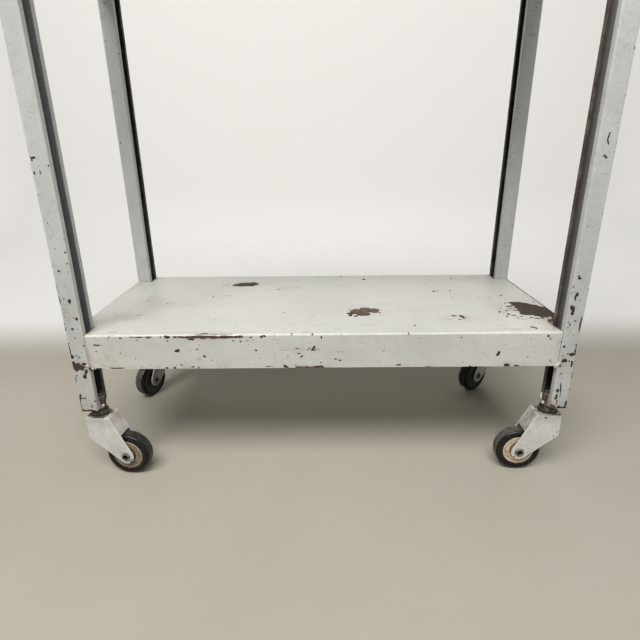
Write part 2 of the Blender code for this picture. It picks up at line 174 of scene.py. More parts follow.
# Chips seen on the front apron: x, z, width, height, brown
APRON_CHIPS = [
    (-315.6, 258.2, 6.5, 3.4, 0.2), (-279.7, 258.9, 48.0, 1.5, 0.2), (-252.3, 259.0, 3.2, 2.8, 0.2),
    (-242.2, 258.9, 10.0, 3.4, 0.3), (-231.1, 258.9, 4.0, 3.2, 0.3), (-176.6, 258.6, 98.0, 3.4, 0.75),
    (-210.0, 257.6, 26.0, 2.6, 0.7), (-160.0, 257.2, 30.0, 3.4, 0.75), (-138.0, 258.2, 24.0, 3.2, 0.7),
    (-204.7, 254.4, 11.7, 2.6, 0.6), (-186.9, 256.4, 10.0, 3.0, 0.7), (-139.1, 251.5, 3.9, 1.7, 0.1),
    (-128.2, 250.7, 3.9, 2.5, 0.0), (-117.0, 251.9, 2.9, 1.5, 0.1), (-108.6, 252.7, 2.9, 1.7, 0.1),
    (-111.2, 257.7, 4.3, 2.7, 0.1), (-95.3, 257.4, 4.3, 3.4, 0.0), (-91.0, 259.2, 6.0, 1.3, 0.1),
    (-116.5, 245.5, 4.0, 1.3, 0.3), (-242.2, 251.9, 3.0, 1.5, 0.2), (-228.3, 235.8, 7.8, 4.0, 0.1, 20),
    (-206.6, 236.5, 4.2, 1.8, 0.1), (-197.2, 238.1, 2.8, 1.4, 0.1), (-187.8, 237.6, 2.2, 2.4, 0.0),
    (-186.5, 225.8, 5.0, 2.6, 0.3), (-104.9, 235.4, 4.4, 3.6, 0.0, 30), (-1.9, 256.2, 2.4, 6.0, 0.0),
    (-39.4, 237.6, 6.0, 1.6, 0.2), (-24.7, 235.6, 5.4, 1.6, 0.1), (-15.6, 236.2, 3.2, 8.2, 0.0, -18),
    (-10.6, 234.6, 6.4, 3.0, 0.0), (-12.6, 239.6, 2.0, 7.0, 0.0, 14), (-37.6, 229.3, 6.0, 1.6, 0.2),
    (-32.8, 224.5, 2.4, 6.2, 0.0, -30), (-59.1, 207.1, 6.2, 3.0, 0.1, -35), (-87.0, 207.1, 7.0, 1.8, 0.3),
    (-327.7, 205.9, 23.0, 2.3, 0.3), (-355.9, 204.9, 12.0, 1.8, 0.4), (-247.9, 205.2, 4.4, 3.3, 0.1),
    (-235.4, 205.4, 4.4, 3.1, 0.1), (-214.0, 206.8, 2.8, 1.8, 0.1), (-206.6, 207.4, 6.0, 1.8, 0.2),
    (-198.1, 206.2, 2.8, 1.5, 0.2), (-21.4, 205.2, 43.0, 3.0, 0.9), (-6.0, 206.4, 14.0, 3.4, 0.8),
    (-348.0, 246.2, 21.6, 1.1, 0.1), (-356.6, 235.8, 3.4, 1.4, 0.2), (-318.8, 231.6, 3.0, 1.5, 0.2),
    (-296.9, 222.3, 2.6, 1.6, 0.1), (20.4, 219.5, 5.0, 1.6, 0.3), (27.4, 216.5, 6.0, 2.2, 0.3),
    (34.0, 214.4, 4.0, 1.8, 0.3), (120.3, 208.2, 8.0, 2.2, 0.1), (222.3, 212.2, 2.6, 2.6, 0.1),
    (275.4, 224.6, 7.0, 4.6, 0.1), (277.2, 228.6, 3.4, 4.6, 0.1), (215.1, 254.4, 1.9, 2.5, 0.1),
    (292.1, 206.6, 9.0, 4.4, 0.2), (307.2, 205.0, 8.4, 2.4, 0.2), (320.1, 204.4, 4.0, 1.8, 0.2),
    (350.3, 255.4, 4.2, 4.4, 0.0), (353.4, 251.5, 2.6, 3.8, 0.0), (359.0, 214.1, 2.4, 3.8, 0.1),
    (361.0, 210.4, 2.8, 3.6, 0.1), (233.9, 205.2, 4.0, 1.8, 0.2), (168.0, 204.6, 9.0, 1.6, 0.3),
    (-48.0, 260.8, 4.4, 1.4, 0.2), (-15.6, 260.6, 3.6, 1.4, 0.2), (133.6, 260.8, 3.4, 1.4, 0.2),
    (64.0, 247.0, 1.8, 1.4, 0.1), (-70.0, 247.5, 2.2, 1.3, 0.2), (96.0, 232.0, 2.0, 1.2, 0.2),
    (-21.0, 238.0, 9.0, 1.2, 0.0, 28), (-14.0, 235.2, 12.0, 1.5, 0.0, -4), (-8.0, 235.6, 7.0, 2.2, 0.0, 0), (-13.6, 240.6, 1.3, 6.0, 0.0, -14),
]
# Chips on the shelf top: x, y, width, height, brown
TOP_CHIPS = [
    (-166.0, 109.0, 36.0, 38.0, 0.55), (-150.0, 110.0, 24.0, 34.0, 0.5), (-182.0, 105.0, 22.0, 14.0, 0.5),
    (-204.0, 104.0, 20.0, 3.4, 0.4), (-137.0, 112.0, 10.0, 12.0, 0.5), (-196.0, 112.0, 8.0, 3.0, 0.4),
    (60.0, -70.0, 22.0, 30.0, 0.85), (76.0, -66.0, 28.0, 36.0, 1.0), (91.0, -68.0, 20.0, 30.0, 0.95),
    (72.0, -85.0, 30.0, 18.0, 0.8), (53.0, -80.0, 14.0, 14.0, 0.6), (48.0, -92.0, 9.0, 9.0, 0.3),
    (57.0, -95.0, 7.0, 9.0, 0.4), (46.0, -82.0, 8.0, 8.0, 0.4), (48.0, -62.0, 6.0, 6.0, 0.5), (100.0, -78.0, 6.0, 6.0, 0.6),
    (360.0, -42.0, 34.0, 38.0, 0.45), (372.0, -56.0, 34.0, 52.0, 0.5), (386.0, -78.0, 26.0, 60.0, 0.55), (360.0, -72.0, 34.0, 52.0, 0.5),
    (392.0, -98.0, 16.0, 40.0, 0.55), (372.0, -94.0, 34.0, 32.0, 0.5), (350.0, -90.0, 18.0, 22.0, 0.45), (349.0, -28.0, 22.0, 8.0, 0.4),
    (346.0, -58.0, 16.0, 14.0, 0.4), (390.0, -112.0, 18.0, 12.0, 0.5), (376.0, -126.0, 8.0, 16.0, 0.7), (370.0, -142.0, 4.0, 26.0, 0.8),
    (334.0, -50.0, 14.0, 6.0, 0.4), (332.0, -64.0, 12.0, 5.0, 0.4), (340.0, -72.0, 14.0, 6.0, 0.4),
    (322.0, -74.0, 6.0, 6.0, 0.2), (318.0, -92.0, 5.0, 10.0, 0.2), (326.0, -98.0, 10.0, 5.0, 0.2),
    (312.0, -104.0, 4.0, 8.0, 0.2), (336.0, -104.0, 9.0, 5.0, 0.3), (328.0, -110.0, 6.0, 4.0, 0.2),
    (317.0, -60.0, 4.0, 5.0, 0.2), (324.0, -44.0, 5.0, 4.0, 0.3), (350.0, -110.0, 8.0, 5.0, 0.3),
    (306.0, -84.0, 3.4, 4.0, 0.2), (362.0, -114.0, 20.0, 4.5, 0.4), (384.0, -122.0, 18.0, 9.0, 0.5),
    (89.9, 140.2, 11.0, 11.0, 0.3), (41.9, 164.9, 6.0, 8.0, 0.2), (281.2, 146.3, 6.0, 8.0, 0.2),
    (-6.0, 166.0, 7.0, 4.0, 0.2),
    (221.4, 47.5, 10.0, 7.0, 0.3), (229.4, 50.0, 4.0, 6.0, 0.3), (254.3, 50.0, 4.6, 8.0, 0.2),
    (224.0, -98.0, 12.0, 7.0, 0.7), (236.0, -100.0, 10.0, 10.0, 0.6), (237.4, -109.2, 7.0, 8.0, 0.5),
    (229.0, -116.0, 8.0, 4.0, 0.5), (241.0, -120.0, 4.0, 6.0, 0.4),
    (333.2, -153.8, 8.0, 5.0, 0.2), (337.6, -158.0, 4.0, 9.0, 0.2), (-89.1, 70.9, 10.2, 3.6, 0.3, 30),
    (-67.9, -73.5, 2.6, 7.0, 0.3), (149.7, -141.5, 3.6, 6.0, 0.1), (-48.0, -172.0, 4.7, 3.2, 0.2),
    (-15.6, -172.0, 3.9, 3.4, 0.2), (134.0, -172.0, 3.9, 3.4, 0.2), (-212.4, 26.5, 5.0, 6.0, 0.3),
    (-184.0, -171.0, 12.0, 4.0, 0.6), (-170.0, -174.0, 60.0, 2.2, 0.6),
]
TOP_STAINS = [
    (-335, 5, 60, 90, 0.42), (-333, -86, 130, 90, 0.34), (-250, -20, 160, 60, 0.16), (368, -150, 44, 60, 0.75),
    (-68, 80, 60, 26, 0.4), (-214, 30, 60, 50, 0.3), (232, -106, 60, 46, 0.4), (140, 150, 70, 24, 0.35),
    (330, -80, 70, 90, 0.35), (372, -128, 26, 50, 1.0), (366, -158, 30, 24, 0.8), (78, -72, 76, 66, 0.35), (-164, 108, 70, 60, 0.28), (330, 150, 90, 40, 0.3),
    (10, -20, 240, 110, 0.10), (-180, -168, 110, 14, 0.5), (-390, 120, 40, 120, 0.3), (250, 20, 160, 120, 0.12),
]
APRON_STAINS = [
    (-350, 235, 90, 60, 0.35), (-176, 257, 120, 9, 0.55), (-25, 236, 40, 16, 0.35), (-22, 206, 60, 10, 0.5),
    (-230, 207, 90, 12, 0.3), (300, 208, 60, 14, 0.35), (25, 217, 60, 22, 0.25), (368, 232, 8, 70, 0.3),
    (-370, 225, 6, 80, 0.3), (-300, 206, 140, 10, 0.25), (120, 206, 200, 8, 0.18),
]
# Chips on the front flanges of the front legs: x, z, width, height, brown
LEG_CHIPS = {
    "front_left": [
        (-396.1, 522.6, 1.8, 6.2, 0.1), (-392.5, 525.1, 4.0, 2.2, 0.1), (-387.8, 506.6, 1.6, 7.0, 0.0),
        (-396.1, 505.2, 1.5, 4.5, 0.1), (-375.0, 514.2, 2.1, 2.1, 0.1), (-396.4, 474.9, 2.8, 1.5, 0.1),
        (-368.1, 434.0, 1.9, 2.9, 0.1), (-376.0, 392.5, 1.6, 2.0, 0.1), (-390.7, 365.3, 3.4, 4.2, 0.1),
        (-399.6, 372.7, 1.4, 3.2, 0.1), (-391.2, 322.5, 3.6, 3.0, 0.1), (-382.7, 319.3, 5.2, 4.0, 0.2),
        (-384.0, 316.6, 2.6, 6.0, 0.2, 25), (-399.3, 320.7, 2.4, 10.0, 0.2), (-396.0, 318.3, 3.0, 1.6, 0.1),
        (-396.0, 294.0, 3.0, 2.4, 0.3), (-377.6, 289.9, 3.0, 5.4, 0.1), (-387.3, 273.5, 4.4, 3.4, 0.1),
        (-393.6, 276.8, 1.7, 1.9, 0.1), (-399.0, 273.6, 1.8, 8.0, 0.2), (-399.2, 238.1, 3.0, 14.6, 0.2),
        (-397.5, 226.1, 4.6, 7.4, 0.2), (-390.0, 227.6, 2.4, 3.0, 0.0), (-385.7, 225.0, 2.4, 3.0, 0.0),
        (-397.6, 211.4, 5.4, 14.0, 0.5), (-393.6, 206.2, 9.0, 8.0, 0.6), (-387.0, 209.6, 11.0, 4.0, 0.5, -12), (-385.0, 204.0, 8.0, 3.4, 0.3, -30), (-389.6, 213.6, 4.0, 3.0, 0.3), (-382.0, 207.6, 5.0, 3.4, 0.4),
        (-381.1, 213.3, 5.6, 6.0, 0.4), (-378.7, 200.3, 5.0, 7.4, 0.1), (-383.1, 190.6, 6.0, 5.6, 0.0),
        (-380.6, 196.4, 3.0, 6.0, 0.0), (-396.3, 157.1, 3.0, 3.8, 0.0), (-399.4, 151.8, 4.0, 9.4, 0.1),
        (-400.1, 136.2, 2.2, 25.5, 0.1), (-392.0, 152.0, 7.7, 1.4, 0.1), (-388.6, 128.4, 23.5, 2.6, 0.1),
        (-380.8, 136.0, 2.8, 6.4, 0.2), (-399.6, 186.0, 2.0, 8.0, 0.2), (-399.8, 342.0, 1.6, 6.0, 0.2),
        (-393.0, 438.0, 1.6, 1.8, 0.1), (-383.0, 352.0, 1.6, 1.6, 0.1), (-386.6, 258.0, 1.8, 2.4, 0.1),
    ],
    "front_right": [
        (386.6, 545.0, 1.4, 9.0, 0.1, 8), (387.5, 536.0, 1.2, 8.0, 0.1, -20), (385.4, 528.6, 2.0, 2.0, 0.0),
        (386.0, 519.4, 3.2, 2.8, 0.0), (388.6, 517.0, 3.0, 2.4, 0.0), (380.3, 424.0, 1.8, 1.8, 0.0),
        (378.5, 418.6, 1.5, 1.5, 0.1), (380.8, 350.8, 4.6, 2.3, 0.1), (382.9, 347.3, 5.9, 2.6, 0.1),
        (383.4, 321.6, 4.2, 6.0, 0.35), (381.6, 316.6, 2.6, 9.0, 0.3, -14), (379.8, 299.9, 6.0, 8.0, 0.3),
        (381.4, 294.6, 4.0, 9.0, 0.3, 12), (377.6, 303.0, 4.0, 4.0, 0.3), (380.4, 273.4, 2.4, 4.4, 0.2),
        (377.9, 270.0, 3.0, 2.2, 0.1), (377.7, 277.3, 2.1, 2.3, 0.1), (396.2, 273.4, 2.0, 20.0, 0.3),
        (375.5, 334.2, 1.6, 1.7, 0.1), (371.6, 316.3, 1.4, 1.8, 0.1), (377.9, 237.6, 3.2, 4.6, 0.1),
        (396.6, 231.5, 2.0, 17.4, 0.2), (392.2, 223.8, 6.3, 4.6, 0.2), (385.8, 224.7, 2.5, 1.8, 0.1),
        (382.3, 212.6, 7.9, 5.0, 0.2), (378.5, 221.3, 2.2, 2.2, 0.1), (389.9, 211.7, 2.6, 2.6, 0.1),
        (394.6, 207.3, 2.6, 10.7, 0.3), (380.7, 190.7, 2.5, 3.6, 0.1), (377.0, 206.0, 1.8, 9.0, 0.2),
        (379.8, 159.5, 3.0, 6.2, 0.0), (379.5, 148.8, 2.9, 9.3, 0.0, 10), (381.9, 138.0, 2.0, 9.4, 0.1),
        (384.4, 160.2, 1.2, 21.6, 0.1, -6), (397.6, 136.3, 2.4, 10.0, 0.1), (390.0, 128.6, 18.0, 2.4, 0.1),
        (375.4, 131.0, 9.0, 8.0, 0.8), (399.6, 186.0, 1.8, 9.0, 0.3), (399.4, 330.0, 1.6, 5.0, 0.3),
    ],
    "rear_left": [(-385.0, 300.0, 3.0, 2.4, 0.2), (-380.0, 268.0, 10.0, 3.0, 0.9), (-392.0, 420.0, 2.4, 3.0, 0.1)],
    "rear_right": [(386.0, 360.0, 2.4, 3.0, 0.2), (380.0, 268.0, 6.0, 2.4, 0.8), (391.0, 500.0, 2.0, 3.0, 0.1)],
}
LEG_STAINS = {
    "front_left": [(-392, 292, 12, 26, 0.75), (-388, 208, 30, 22, 0.8), (-381, 198, 12, 30, 0.6), (-385, 135, 30, 24, 0.3)],
    "front_right": [(380, 300, 12, 24, 0.3), (382, 210, 30, 40, 0.35), (374, 134, 14, 18, 0.9), (378, 190, 20, 40, 0.25)],
    "rear_left": [(-382, 268, 34, 12, 1.0), (-386, 300, 30, 40, 0.3)],
    "rear_right": [(382, 268, 30, 9, 0.7), (386, 320, 30, 60, 0.3)],
}


# ------------------------------------------------------------ shader building
class Shader:
    """A node material with short names for the nodes that it needs."""

    def __init__(self, name):
        self.mat = bpy.data.materials.new(name)
        self.mat.use_nodes = True
        self.tree = self.mat.node_tree
        self.bsdf = next(n for n in self.tree.nodes if n.type == "BSDF_PRINCIPLED")
        self.place = self.tree.nodes.new("ShaderNodeTexCoord").outputs["Object"]

    def _feed(self, socket, value):
        if isinstance(value, bpy.types.NodeSocket):
            self.tree.links.new(value, socket)
        elif value is not None:
            socket.default_value = value

    def node(self, kind, **settings):
        n = self.tree.nodes.new(kind)
        for key, value in settings.items():
            setattr(n, key, value)
        return n

    def math(self, op, a, b=None, c=None, clamp=False):
        n = self.node("ShaderNodeMath", operation=op, use_clamp=clamp)
        for i, v in enumerate((a, b, c)):
            self._feed(n.inputs[i], v)
        return n.outputs[0]

    def step(self, value, low, high, a=0.0, b=1.0):
        """Smooth step from a to b as value goes from low to high."""
        n = self.node("ShaderNodeMapRange", interpolation_type="SMOOTHSTEP")
        for i, v in enumerate((value, low, high, a, b)):
            self._feed(n.inputs[i], v)
        return n.outputs[0]

    def line(self, value, low, high, a=0.0, b=1.0):
        n = self.node("ShaderNodeMapRange", interpolation_type="LINEAR")
        for i, v in enumerate((value, low, high, a, b)):
            self._feed(n.inputs[i], v)
        return n.outputs[0]

    def mix(self, factor, a, b, blend="MIX"):
        n = self.node("ShaderNodeMix", data_type="RGBA", blend_type=blend)
        self._feed(n.inputs[0], factor)
        for i, v in ((6, a), (7, b)):
            if isinstance(v, (tuple, list)):
                v = (*v[:3], 1.0)
            self._feed(n.inputs[i], v)
        return n.outputs[2]

    def noise(self, scale, detail=3.0, rough=0.55, where=None, stretch=None, distortion=0.0):
        where = where or self.place
        if stretch:
            m = self.node("ShaderNodeMapping")
            m.inputs["Scale"].default_value = stretch
            self._feed(m.inputs["Vector"], where)
            where = m.outputs[0]
        n = self.node("ShaderNodeTexNoise")
        self._feed(n.inputs["Vector"], where)
        n.inputs["Scale"].default_value = scale
        n.inputs["Detail"].default_value = detail
        n.inputs["Roughness"].default_value = rough
        n.inputs["Distortion"].default_value = distortion
        return n.outputs["Fac"]

    def cells(self, scale, where=None, feature="F1"):
        n = self.node("ShaderNodeTexVoronoi", feature=feature)
        self._feed(n.inputs["Vector"], where or self.place)
        n.inputs["Scale"].default_value = scale
        return n

    def painted(self, name):
        return self.node("ShaderNodeAttribute", attribute_name=name).outputs["Fac"]

    def near(self, point, radius):
        """Depth inside a ball round a point, in metres."""
        n = self.node("ShaderNodeVectorMath", operation="DISTANCE")
        self._feed(n.inputs[0], self.place)
        n.inputs[1].default_value = point
        return self.math("SUBTRACT", radius, n.outputs["Value"])

    def bump(self, height, distance, strength=1.0, under=None):
        n = self.node("ShaderNodeBump")
        n.inputs["Strength"].default_value = strength
        n.inputs["Distance"].default_value = distance
        self._feed(n.inputs["Height"], height)
        if under is not None:
            self._feed(n.inputs["Normal"], under)
        return n.outputs["Normal"]

    def finish(self, colour, rough, metal=0.0, normal=None, specular=None):
        self._feed(self.bsdf.inputs["Base Color"], (*colour[:3], 1.0) if isinstance(colour, (tuple, list)) else colour)
        self._feed(self.bsdf.inputs["Roughness"], rough)
        self._feed(self.bsdf.inputs["Metallic"], metal)
        if normal is not None:
            self._feed(self.bsdf.inputs["Normal"], normal)
        if specular is not None:
            self.bsdf.inputs["Specular IOR Level"].default_value = specular
        return self.mat


def speck_mask(s, scale, size, share, seed_shift):
    """Random small marks: a ball inside some of the cells."""
    m = s.node("ShaderNodeMapping")
    m.inputs["Location"].default_value = (seed_shift, seed_shift * 0.7, seed_shift * 1.3)
    s._feed(m.inputs["Vector"], s.place)
    wob = s.noise(scale * 6, 2, 0.6)
    c = s.cells(scale, m.outputs[0])
    sep = s.node("ShaderNodeSeparateColor")
    s._feed(sep.inputs[0], c.outputs["Color"])
    chosen = s.math("LESS_THAN", sep.outputs[0], share)
    radius = s.math("MULTIPLY", s.line(sep.outputs[1], 0, 1, 0.35, 1.0), size)
    radius = s.math("MULTIPLY", radius, s.line(wob, 0.2, 0.8, 0.3, 1.7))
    inside = s.step(s.math("SUBTRACT", radius, c.outputs["Distance"]), -0.01, 0.02)
    return s.math("MULTIPLY", inside, chosen)


def enamel(name, light, deep, seed, gloss=0.42, speck_share=0.10, streak=0.05, inside=False):
    """Old grey enamel: mottled, scuffed, chipped through to brown-black steel."""
    s = Shader(name)
    broad = s.noise(5.5 + seed * 0.3, 3, 0.5)
    cloud = s.noise(38, 5, 0.62)
    grain = s.noise(420, 3, 0.6)
    rub = s.noise(9, 4, 0.65, stretch=(1.0, 1.0, 9.0))
    tone = s.math("ADD", s.line(broad, 0.3, 0.7, -0.5, 0.5), s.line(cloud, 0.3, 0.7, -0.5, 0.5))
    paint = s.mix(s.line(tone, -0.85, 0.85), deep, light)
    paint = s.mix(s.math("MULTIPLY", s.step(rub, 0.52, 0.75), streak * 3), paint, tuple(c * 0.72 for c in deep))
    # faint freckles of grime in the paint
    freckle = speck_mask(s, 150, 0.22, 0.24, 3.1 + seed)
    paint = s.mix(s.math("MULTIPLY", freckle, s.line(broad, 0.35, 0.6, 0.15, 0.6)), paint, (0.17, 0.16, 0.135))
    # darker streaky smudges on the paint: partly smears, partly a painted sheen
    smear_and_sheen = s.step(s.noise(13, 5, 0.7, stretch=(0.45, 1.5, 1.0)), 0.50, 0.70)
    paint = s.mix(s.math("MULTIPLY", smear_and_sheen, 0.22), paint, (0.40, 0.385, 0.345))
    # sponge-like mottling, stronger on the legs
    mottle = s.math("MULTIPLY", s.step(s.noise(230, 4, 0.72), 0.50, 0.66), s.line(s.noise(24, 3), 0.35, 0.62, 0.35, 1.0), clamp=True)
    paint = s.mix(s.math("MULTIPLY", mottle, 0.36 if inside else 0.15), paint, (0.215, 0.215, 0.205))
    # hair-fine scratches, mostly level, gathered in loose groups
    hair = s.noise(330, 2, 0.5, stretch=(0.10, 0.5, 1.0))
    hair = s.math("MULTIPLY", s.step(hair, 0.635, 0.68), s.step(s.noise(16, 3, 0.55), 0.50, 0.62))
    paint = s.mix(s.math("MULTIPLY", hair, 0.42), paint, (0.15, 0.14, 0.12))
    # soft stains
    stain = s.painted("stain")
    blot = s.noise(70, 4, 0.6)
    stain = s.math("MULTIPLY", stain, s.line(blot, 0.25, 0.75, 0.35, 1.25), clamp=True)
    paint = s.mix(stain, paint, s.mix(s.step(blot, 0.4, 0.7), (0.36, 0.30, 0.215), (0.27, 0.20, 0.13)))
    # lighter along folds: polished, faded paint and a painted highlight
    edge = s.painted("edge")
    edge_wear_and_highlight = s.math("MULTIPLY", edge, s.line(s.noise(120, 3), 0.3, 0.7, 0.25, 0.85), clamp=True)
    paint = s.mix(edge_wear_and_highlight, paint, (0.80, 0.79, 0.75))
    # painted shade inside the leg channels: grey-blue on the left legs, paler grey on the right, near black where it is
    # deepest
    if inside:
        shade = s.painted("inside")
        sep = s.node("ShaderNodeSeparateXYZ")
        s._feed(sep.inputs[0], s.place)
        across = sep.outputs[0]
        paint = s.mix(s.math("MULTIPLY", shade, s.line(cloud, 0.3, 0.7, 0.86, 1.0)), paint, s.mix(s.step(shade, 0.82, 1.0), s.mix(s.step(across, -0.05, 0.05), (0.080, 0.090, 0.106), (0.190, 0.193, 0.200)), (0.009, 0.007, 0.006)))
        # rust-brown over painted shade on the far lip and far flange, mostly on the front-right leg
        paint = s.mix(s.math("MULTIPLY", s.painted("rust_and_shade"), s.line(cloud, 0.3, 0.7, 0.75, 1.1), clamp=True), paint, s.mix(s.step(grain, 0.4, 0.6), (0.034, 0.021, 0.012), (0.082, 0.054, 0.033)))
    # chips, with a ragged outline finer than the mesh
    ragged = s.math("ADD", s.line(s.noise(620, 3, 0.6), 0.3, 0.7, -0.62, 0.62), s.line(s.noise(1900, 2, 0.5), 0.3, 0.7, -0.26, 0.26))
    torn = s.line(s.noise(260, 3, 0.62, stretch=(0.8, 1.0, 1.5)), 0.3, 0.7, -0.95, 0.95)
    torn = s.math("MULTIPLY", torn, s.step(s.painted("chip"), 0.2, 2.4))
    ragged = s.math("ADD", ragged, torn)
    depth = s.math("ADD", s.painted("chip"), ragged)
    specks = speck_mask(s, 62, 0.085, speck_share, seed * 1.7)
    chip = s.math("MAXIMUM", s.step(depth, -0.04, 0.10), specks)
    rim = s.math("MULTIPLY", s.step(depth, -0.95, -0.15), s.math("SUBTRACT", 1.0, chip))
    rim = s.math("MULTIPLY", rim, s.line(s.noise(260, 2), 0.38, 0.66, 0.0, 0.55))
    brown = s.painted("brown")
    crust = s.noise(520, 4, 0.7)
    black = s.mix(s.step(crust, 0.35, 0.7), (0.008, 0.007, 0.006), (0.034, 0.026, 0.021))
    fresh = s.step(brown, 0.62, 0.95)
    rust = s.mix(s.step(crust, 0.35, 0.72), s.mix(fresh, (0.040, 0.022, 0.016), (0.062, 0.036, 0.026)), s.mix(fresh, (0.108, 0.056, 0.038), (0.215, 0.118, 0.074)))
    rust = s.mix(s.step(s.noise(170, 3), 0.52, 0.66), rust, (0.062, 0.043, 0.034))
    fleck = s.math("MULTIPLY", s.step(s.noise(430, 3, 0.6), 0.60, 0.66), s.step(brown, 0.55, 0.95))
    rust = s.mix(s.math("MULTIPLY", fleck, 0.8), rust, (0.46, 0.36, 0.26))
    under = s.mix(s.math("MULTIPLY", brown, s.line(s.noise(95, 3), 0.3, 0.6, 0.55, 1.15), clamp=True), black, rust)
    colour = s.mix(rim, paint, (0.74, 0.72, 0.67))
    colour = s.mix(chip, colour, under)
    rough = s.line(cloud, 0.3, 0.7, gloss - 0.07, gloss + 0.09)
    rough = s.math("ADD", rough, s.math("MULTIPLY", stain, 0.18))
    if inside:
        rough = s.math("ADD", rough, s.math("MULTIPLY", s.math("MAXIMUM", shade, s.painted("rust_and_shade")), 0.40), clamp=True)
    rough = s.math(
        "ADD", s.math("MULTIPLY", rough, s.math("SUBTRACT", 1.0, chip)), s.math("MULTIPLY", chip, s.line(crust, 0.3, 0.7, 0.7, 0.95)))
    ripple = s.bump(s.noise(46, 2, 0.5), 0.00022, 0.8)
    peel = s.bump(grain, 0.00005, 0.5, ripple)
    level = s.math("SUBTRACT", s.math("MULTIPLY", rim, 0.35), s.math("MULTIPLY", chip, s.line(crust, 0.3, 0.7, 1.0, 0.7)))
    normal = s.bump(level, 0.00032, 1.0, peel)
    return s.finish(colour, rough, 0.0, normal, 0.5)


def caster_paint(name):
    """Pale grey paint over pressed steel, worn to bright metal on the folds."""
    s = Shader(name)
    cloud = s.noise(60, 5, 0.62)
    broad = s.noise(17, 3, 0.5)
    paint = s.mix(s.line(s.math("ADD", cloud, broad), 0.75, 1.25), (0.49, 0.478, 0.462), (0.635, 0.618, 0.590))
    grime = s.math("MULTIPLY", s.step(s.noise(34, 5, 0.68), 0.52, 0.74), 0.42)
    paint = s.mix(grime, paint, (0.29, 0.255, 0.205))
    edge = s.painted("edge")
    worn = s.math("MULTIPLY", edge, s.line(s.noise(210, 3, 0.6), 0.28, 0.62, 0.2, 1.1), clamp=True)
    paint = s.mix(worn, paint, (0.86, 0.85, 0.82))
    # darkened where the painted attribute asks: grime, and painted shade on inner faces and round the crown
    dirt = s.painted("dirt")
    dirt = s.math("MULTIPLY", dirt, s.line(s.noise(90, 5, 0.65), 0.3, 0.62, 0.35, 1.15), clamp=True)
    paint = s.mix(dirt, paint, s.mix(s.step(dirt, 0.72, 1.0), (0.120, 0.105, 0.082), (0.040, 0.032, 0.025)))
    ragged = s.line(s.noise(800, 3, 0.6), 0.3, 0.7, -0.4, 0.4)
    depth = s.math("ADD", s.painted("chip"), ragged)
    specks = speck_mask(s, 105, 0.13, 0.16, 5.3)
    chip = s.math("MAXIMUM", s.step(depth, -0.1, 0.15), specks)
    crust = s.noise(600, 4, 0.7)
    colour = s.mix(chip, paint, s.mix(s.step(crust, 0.35, 0.7), (0.020, 0.016, 0.013), (0.10, 0.065, 0.045)))
    metal = s.math("MULTIPLY", worn, 0.35)
    rough = s.math("SUBTRACT", s.line(cloud, 0.3, 0.7, 0.36, 0.52), s.math("MULTIPLY", worn, 0.10))
    rough = s.math("ADD", rough, s.math("MULTIPLY", s.math("MAXIMUM", chip, dirt), 0.32))
    base = s.bump(s.noise(480, 3, 0.6), 0.00006, 0.6, s.bump(s.noise(75, 3), 0.00018, 0.7))
    normal = s.bump(s.math("SUBTRACT", 1.0, chip), 0.00022, 1.0, base)
    return s.finish(colour, rough, metal, normal, 0.5)


def rusted(name, clean, stained, dark, metal=0.6, gloss=0.48, cover=0.5, size=85):
    """Bare steel that has gone brown in patches."""
    s = Shader(name)
    patch = s.noise(size, 5, 0.66)
    fine = s.noise(640, 4, 0.7)
    streaks = s.noise(240, 3, 0.6, stretch=(1, 1, 0.15))
    mask = s.step(patch, cover - 0.10, cover + 0.12)
    steel = s.mix(s.line(streaks, 0.3, 0.7), clean, tuple(c * 0.62 for c in clean))
    crust = s.mix(s.step(fine, 0.36, 0.68), stained, dark)
    colour = s.mix(mask, steel, crust)
    # darkened to near black in bores, under collars and between parts: grime and painted shade
    dirt = s.math("MULTIPLY", s.painted("dirt"), s.line(s.noise(120, 4), 0.3, 0.6, 0.5, 1.1), clamp=True)
    colour = s.mix(dirt, colour, (0.018, 0.015, 0.012))
    edge = s.math("MULTIPLY", s.painted("edge"), s.line(s.noise(300, 2), 0.35, 0.6, 0.1, 0.9), clamp=True)
    colour = s.mix(edge, colour, (0.62, 0.58, 0.54))
    rough = s.math("ADD", s.line(fine, 0.3, 0.7, gloss - 0.08, gloss + 0.1), s.math("MULTIPLY", mask, 0.24))
    metallic = s.math("MULTIPLY", s.math("SUBTRACT", 1.0, mask), metal)
    normal = s.bump(fine, 0.00012, 0.9, s.bump(patch, 0.0003, 0.7))
    return s.finish(colour, rough, metallic, normal)


def greasy(name):
    """Bearing steel under black grease and dust, with a few bare glints."""
    s = Shader(name)
    film = s.noise(110, 5, 0.65)
    fine = s.noise(720, 3, 0.6)
    colour = s.mix(s.step(film, 0.35, 0.66), (0.007, 0.006, 0.005), (0.036, 0.028, 0.021))
    bare = s.math("MULTIPLY", s.painted("edge"), s.step(s.noise(260, 3), 0.45, 0.62))
    colour = s.mix(bare, colour, (0.52, 0.46, 0.40))
    dust = s.step(s.noise(48, 3), 0.56, 0.72)
    colour = s.mix(s.math("MULTIPLY", dust, 0.34), colour, (0.17, 0.13, 0.095))
    rough = s.line(film, 0.3, 0.7, 0.36, 0.74)
    normal = s.bump(fine, 0.0001, 0.8, s.bump(film, 0.0005, 0.8))
    return s.finish(colour, rough, s.math("MULTIPLY", bare, 0.8), normal)


